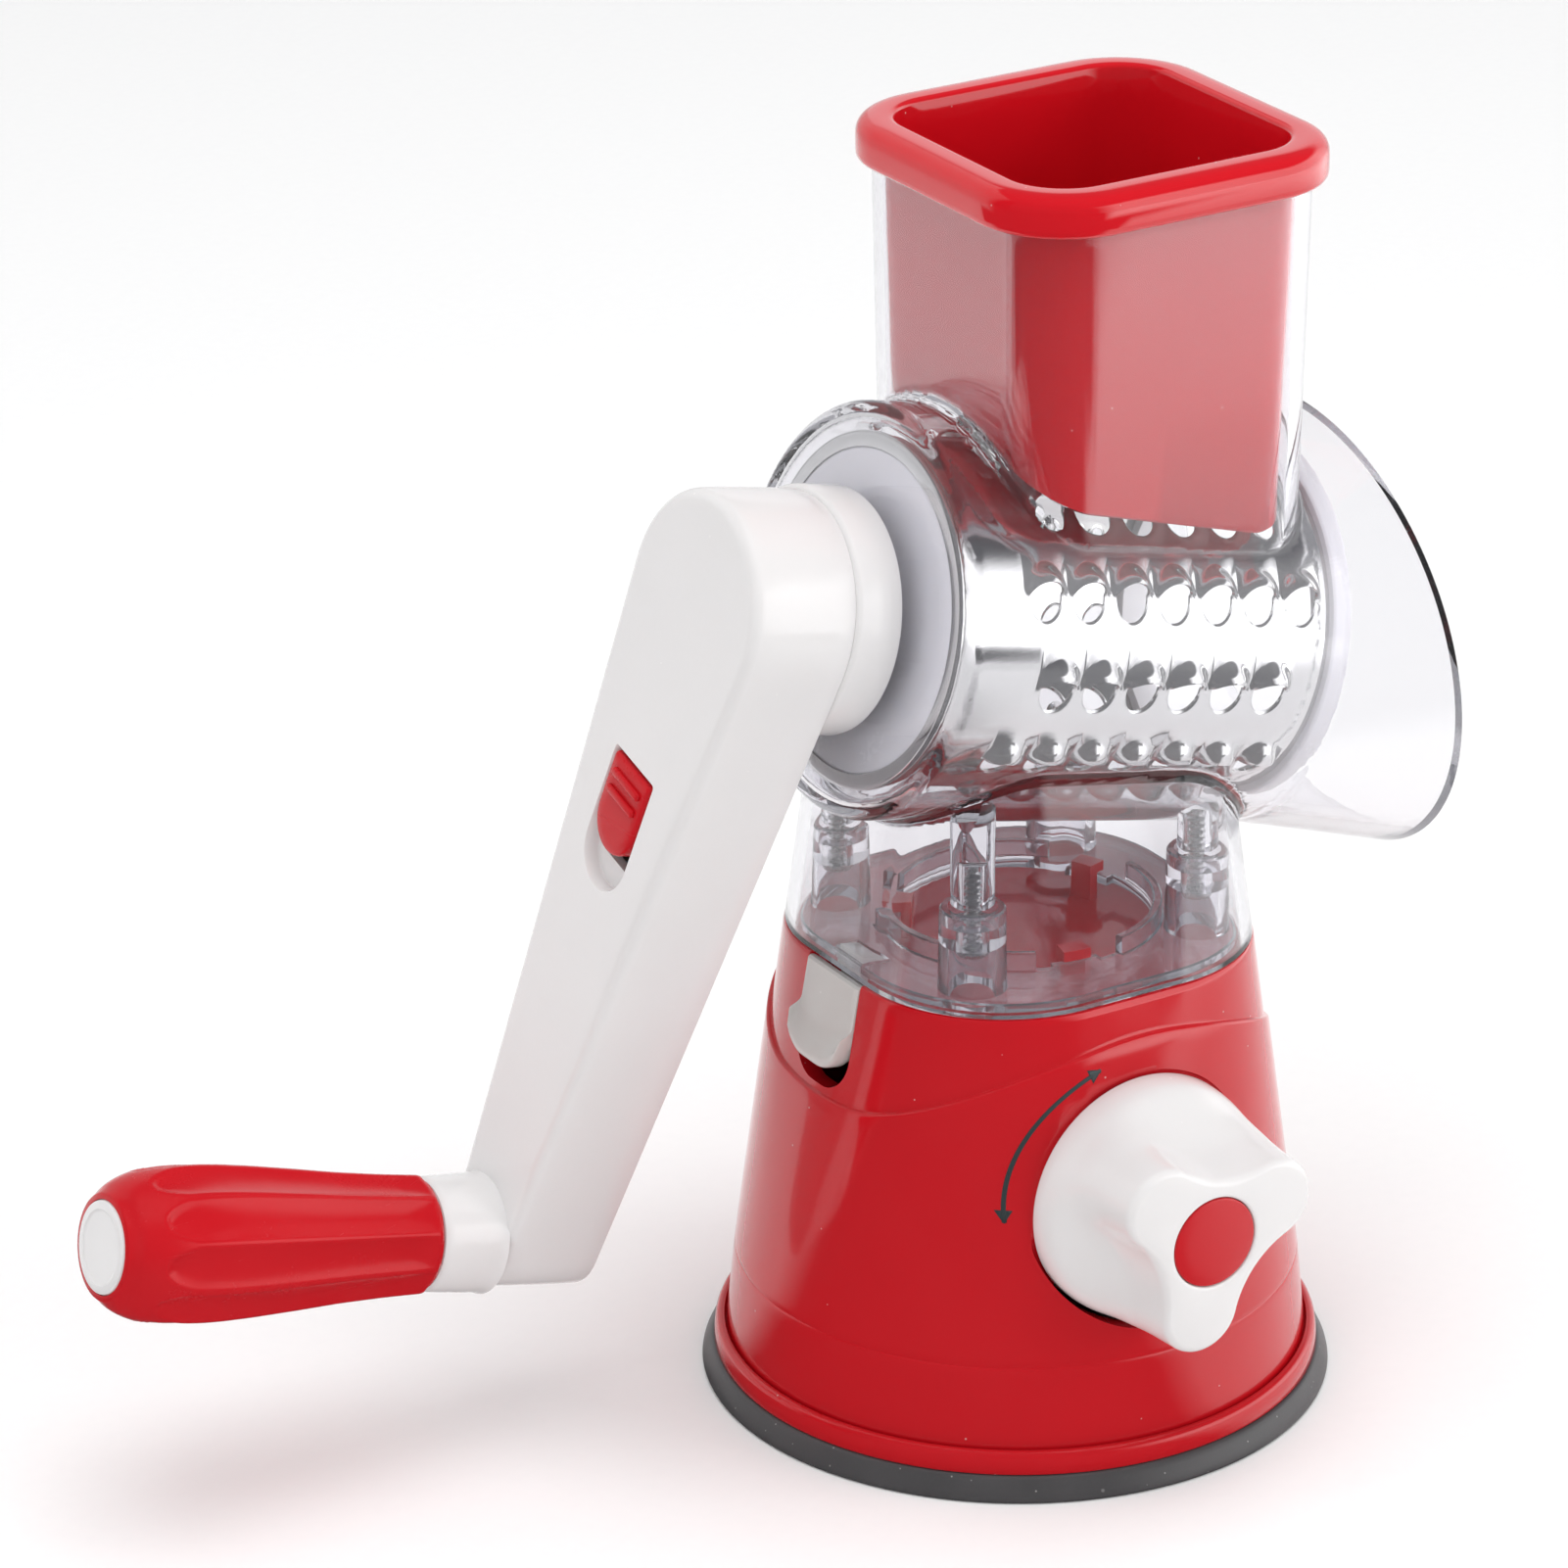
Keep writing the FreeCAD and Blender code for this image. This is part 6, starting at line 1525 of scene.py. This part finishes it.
# ------------------------------------------------------------------ add-on
class ShredderSettings(bpy.types.PropertyGroup):
    """Sizes, colours and light that a user would change."""
    round_steps: IntProperty(name="Round steps", description="Segments round a turned piece",
                             default=128, min=32, max=256)
    melt: FloatProperty(name="Melt size", description="Grain of the clear body's skin", unit="LENGTH",
                        default=0.00105, min=0.0008, max=0.003, precision=5)
    clear_wall: FloatProperty(name="Clear wall", description="Wall thickness of the clear body",
                              unit="LENGTH", default=0.0024, min=0.0015, max=0.003, precision=5)
    sheet: FloatProperty(name="Drum sheet", description="Thickness of the drum's steel sheet", unit="LENGTH",
                         default=0.0006, min=0.0003, max=0.001, precision=5)
    scoop_rise: FloatProperty(name="Scoop rise", description="Height of each hood above the drum's face",
                              unit="LENGTH", default=0.0028, min=0.001, max=0.0032, precision=5)
    flute_depth: FloatProperty(name="Flute depth", description="Depth of the grip's flutes", unit="LENGTH",
                               default=0.00125, min=0.0, max=0.002, precision=5)
    red: FloatVectorProperty(name="Red", description="Colour of the base, grip, cap and button",
                             subtype="COLOR", default=(0.54, 0.006, 0.012), min=0.0, max=1.0)
    pusher_red: FloatVectorProperty(name="Pusher red", description="Colour of the pusher",
                                    subtype="COLOR", default=(0.62, 0.006, 0.013), min=0.0, max=1.0)
    white: FloatVectorProperty(name="White", description="Colour of the crank and knob",
                               subtype="COLOR", default=(0.79, 0.775, 0.775), min=0.0, max=1.0)
    # Paler than the crank's white on purpose: painted light for the parts that sit in shade inside the clear
    # housing, over their own faint lavender cast.
    hub_white_painted_paler: FloatVectorProperty(name="Hub white", description="Colour of the drum's hub, ring and shaft",
                                   subtype="COLOR", default=(0.90, 0.89, 0.92), min=0.0, max=1.0)
    latch_grey: FloatVectorProperty(name="Latch grey", description="Colour of the latch",
                                    subtype="COLOR", default=(0.62, 0.60, 0.58), min=0.0, max=1.0)
    clear_tint: FloatVectorProperty(name="Clear tint", description="Cast of the clear body",
                                    subtype="COLOR", default=(0.94, 0.937, 0.96), min=0.5, max=1.0)
    steel: FloatVectorProperty(name="Steel", description="Colour of the drum's sheet",
                               subtype="COLOR", default=(0.80, 0.80, 0.79), min=0.0, max=1.0)
    key_power: FloatProperty(name="Key power", description="Power shared by the soft boxes", unit="POWER",
                             default=22.0, min=0.0, max=500.0)
    air: FloatProperty(name="Air light", description="Strength of the even light from all round",
                       subtype="FACTOR", default=0.62, min=0.0, max=2.0)


class BuildStep:
    """What all the operators share."""
    bl_options = {"REGISTER", "UNDO"}


class SHREDDER_OT_base(BuildStep, bpy.types.Operator):
    """Red base with its band, saddle line, deck hooks, knob seat and latch slot"""
    bl_idname = "shredder.base"
    bl_label = "Suction base"

    def execute(self, context):
        build_base(context.scene.shredder)
        return {"FINISHED"}


class SHREDDER_OT_mark(BuildStep, bpy.types.Operator):
    """Printed arc with an arrowhead at each end, beside the suction knob"""
    bl_idname = "shredder.mark"
    bl_label = "Turn arrow"

    def execute(self, context):
        build_mark()
        return {"FINISHED"}


class SHREDDER_OT_cup(BuildStep, bpy.types.Operator):
    """Black suction cup with a feathered rim and a bead inside the base"""
    bl_idname = "shredder.cup"
    bl_label = "Suction cup"

    def execute(self, context):
        build_cup(context.scene.shredder)
        return {"FINISHED"}


class SHREDDER_OT_knob(BuildStep, bpy.types.Operator):
    """White three-lobed knob and its red cap"""
    bl_idname = "shredder.knob"
    bl_label = "Suction knob"

    def execute(self, context):
        build_knob(context.scene.shredder)
        return {"FINISHED"}


class SHREDDER_OT_latch(BuildStep, bpy.types.Operator):
    """Grey push-down tab whose foot curls outwards under the thumb"""
    bl_idname = "shredder.latch"
    bl_label = "Latch"

    def execute(self, context):
        build_latch()
        return {"FINISHED"}


class SHREDDER_OT_clear_body(BuildStep, bpy.types.Operator):
    """Feed tube, drum housing, hood and skirt as one clear moulding"""
    bl_idname = "shredder.clear_body"
    bl_label = "Clear body"

    def execute(self, context):
        build_clear_body(context.scene.shredder)
        return {"FINISHED"}


class SHREDDER_OT_plate(BuildStep, bpy.types.Operator):
    """Clear floor with its bayonet ring, four screw cups and the latch window"""
    bl_idname = "shredder.plate"
    bl_label = "Clear floor"

    def execute(self, context):
        build_plate()
        return {"FINISHED"}


class SHREDDER_OT_screws(BuildStep, bpy.types.Operator):
    """The four cross-head screws inside the clear posts"""
    bl_idname = "shredder.screws"
    bl_label = "Body screws"

    def execute(self, context):
        build_screws()
        return {"FINISHED"}


class SHREDDER_OT_pusher(BuildStep, bpy.types.Operator):
    """Red square cup with a rolled lip and a floor arched over the drum"""
    bl_idname = "shredder.pusher"
    bl_label = "Pusher"

    def execute(self, context):
        build_pusher()
        return {"FINISHED"}


class SHREDDER_OT_drum(BuildStep, bpy.types.Operator):
    """Bright sheet drum with staggered rows of scoops, crimped over the white hub"""
    bl_idname = "shredder.drum"
    bl_label = "Drum"

    def execute(self, context):
        build_drum(context.scene.shredder)
        return {"FINISHED"}


class SHREDDER_OT_drum_fittings(BuildStep, bpy.types.Operator):
    """White hub disc, outlet ring and drive shaft"""
    bl_idname = "shredder.drum_fittings"
    bl_label = "Drum fittings"

    def execute(self, context):
        build_drum_fittings(context.scene.shredder)
        return {"FINISHED"}


class SHREDDER_OT_crank(BuildStep, bpy.types.Operator):
    """White arm with its recess, hub cup, neck, cover and screws"""
    bl_idname = "shredder.crank"
    bl_label = "Crank"

    def execute(self, context):
        build_crank(context.scene.shredder)
        return {"FINISHED"}


class SHREDDER_OT_button(BuildStep, bpy.types.Operator):
    """Red thumb slide in the arm and the bolt behind it"""
    bl_idname = "shredder.button"
    bl_label = "Release button"

    def execute(self, context):
        build_button()
        return {"FINISHED"}


class SHREDDER_OT_grip(BuildStep, bpy.types.Operator):
    """Red turning handle with ten shallow finger flutes and a white end cap"""
    bl_idname = "shredder.grip"
    bl_label = "Grip"

    def execute(self, context):
        build_grip(context.scene.shredder)
        return {"FINISHED"}


class SHREDDER_OT_springs(BuildStep, bpy.types.Operator):
    """Return springs of the latch and of the release slide"""
    bl_idname = "shredder.springs"
    bl_label = "Springs"

    def execute(self, context):
        build_springs()
        return {"FINISHED"}


class SHREDDER_OT_inner(BuildStep, bpy.types.Operator):
    """Finishes of the hidden parts that keep their shapes"""
    bl_idname = "shredder.inner"
    bl_label = "Inner parts"

    def execute(self, context):
        finish_inner()
        return {"FINISHED"}


class SHREDDER_OT_studio(BuildStep, bpy.types.Operator):
    """Pale table, soft boxes, air and camera"""
    bl_idname = "shredder.studio"
    bl_label = "Studio"

    def execute(self, context):
        build_studio(context.scene.shredder)
        return {"FINISHED"}


OPERATORS = (
    SHREDDER_OT_base, SHREDDER_OT_mark, SHREDDER_OT_cup, SHREDDER_OT_knob, SHREDDER_OT_latch,
    SHREDDER_OT_clear_body, SHREDDER_OT_plate, SHREDDER_OT_screws, SHREDDER_OT_pusher, SHREDDER_OT_drum,
    SHREDDER_OT_drum_fittings, SHREDDER_OT_crank, SHREDDER_OT_button, SHREDDER_OT_grip, SHREDDER_OT_springs,
    SHREDDER_OT_inner, SHREDDER_OT_studio,
)


class SHREDDER_PT_panel(bpy.types.Panel):
    """Buttons for each piece in the 3D view's sidebar."""
    bl_idname = "SHREDDER_PT_panel"
    bl_label = "Rotary Shredder"
    bl_space_type = "VIEW_3D"
    bl_region_type = "UI"
    bl_category = "Shredder"

    def draw(self, context):
        column = self.layout.column()
        for name in ShredderSettings.__annotations__:
            column.prop(context.scene.shredder, name)
        column.separator()
        for item in OPERATORS:
            column.operator(item.bl_idname)


CLASSES = (ShredderSettings, *OPERATORS, SHREDDER_PT_panel)


def register():
    """Add the settings, the operators and the panel to Blender."""
    for item in CLASSES:
        bpy.utils.register_class(item)
    bpy.types.Scene.shredder = PointerProperty(type=ShredderSettings)


def unregister():
    """Take them away again."""
    del bpy.types.Scene.shredder
    for item in reversed(CLASSES):
        bpy.utils.unregister_class(item)


def main():
    """Registers the add-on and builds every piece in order."""
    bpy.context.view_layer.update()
    register()
    bpy.ops.shredder.base()
    bpy.ops.shredder.mark()
    bpy.ops.shredder.cup()
    bpy.ops.shredder.knob()
    bpy.ops.shredder.latch()
    bpy.ops.shredder.clear_body()
    bpy.ops.shredder.plate()
    bpy.ops.shredder.screws()
    bpy.ops.shredder.pusher()
    bpy.ops.shredder.drum()
    bpy.ops.shredder.drum_fittings()
    bpy.ops.shredder.crank()
    bpy.ops.shredder.button()
    bpy.ops.shredder.grip()
    bpy.ops.shredder.springs()
    bpy.ops.shredder.inner()
    bpy.ops.shredder.studio()


if __name__ == "__main__":
    main()
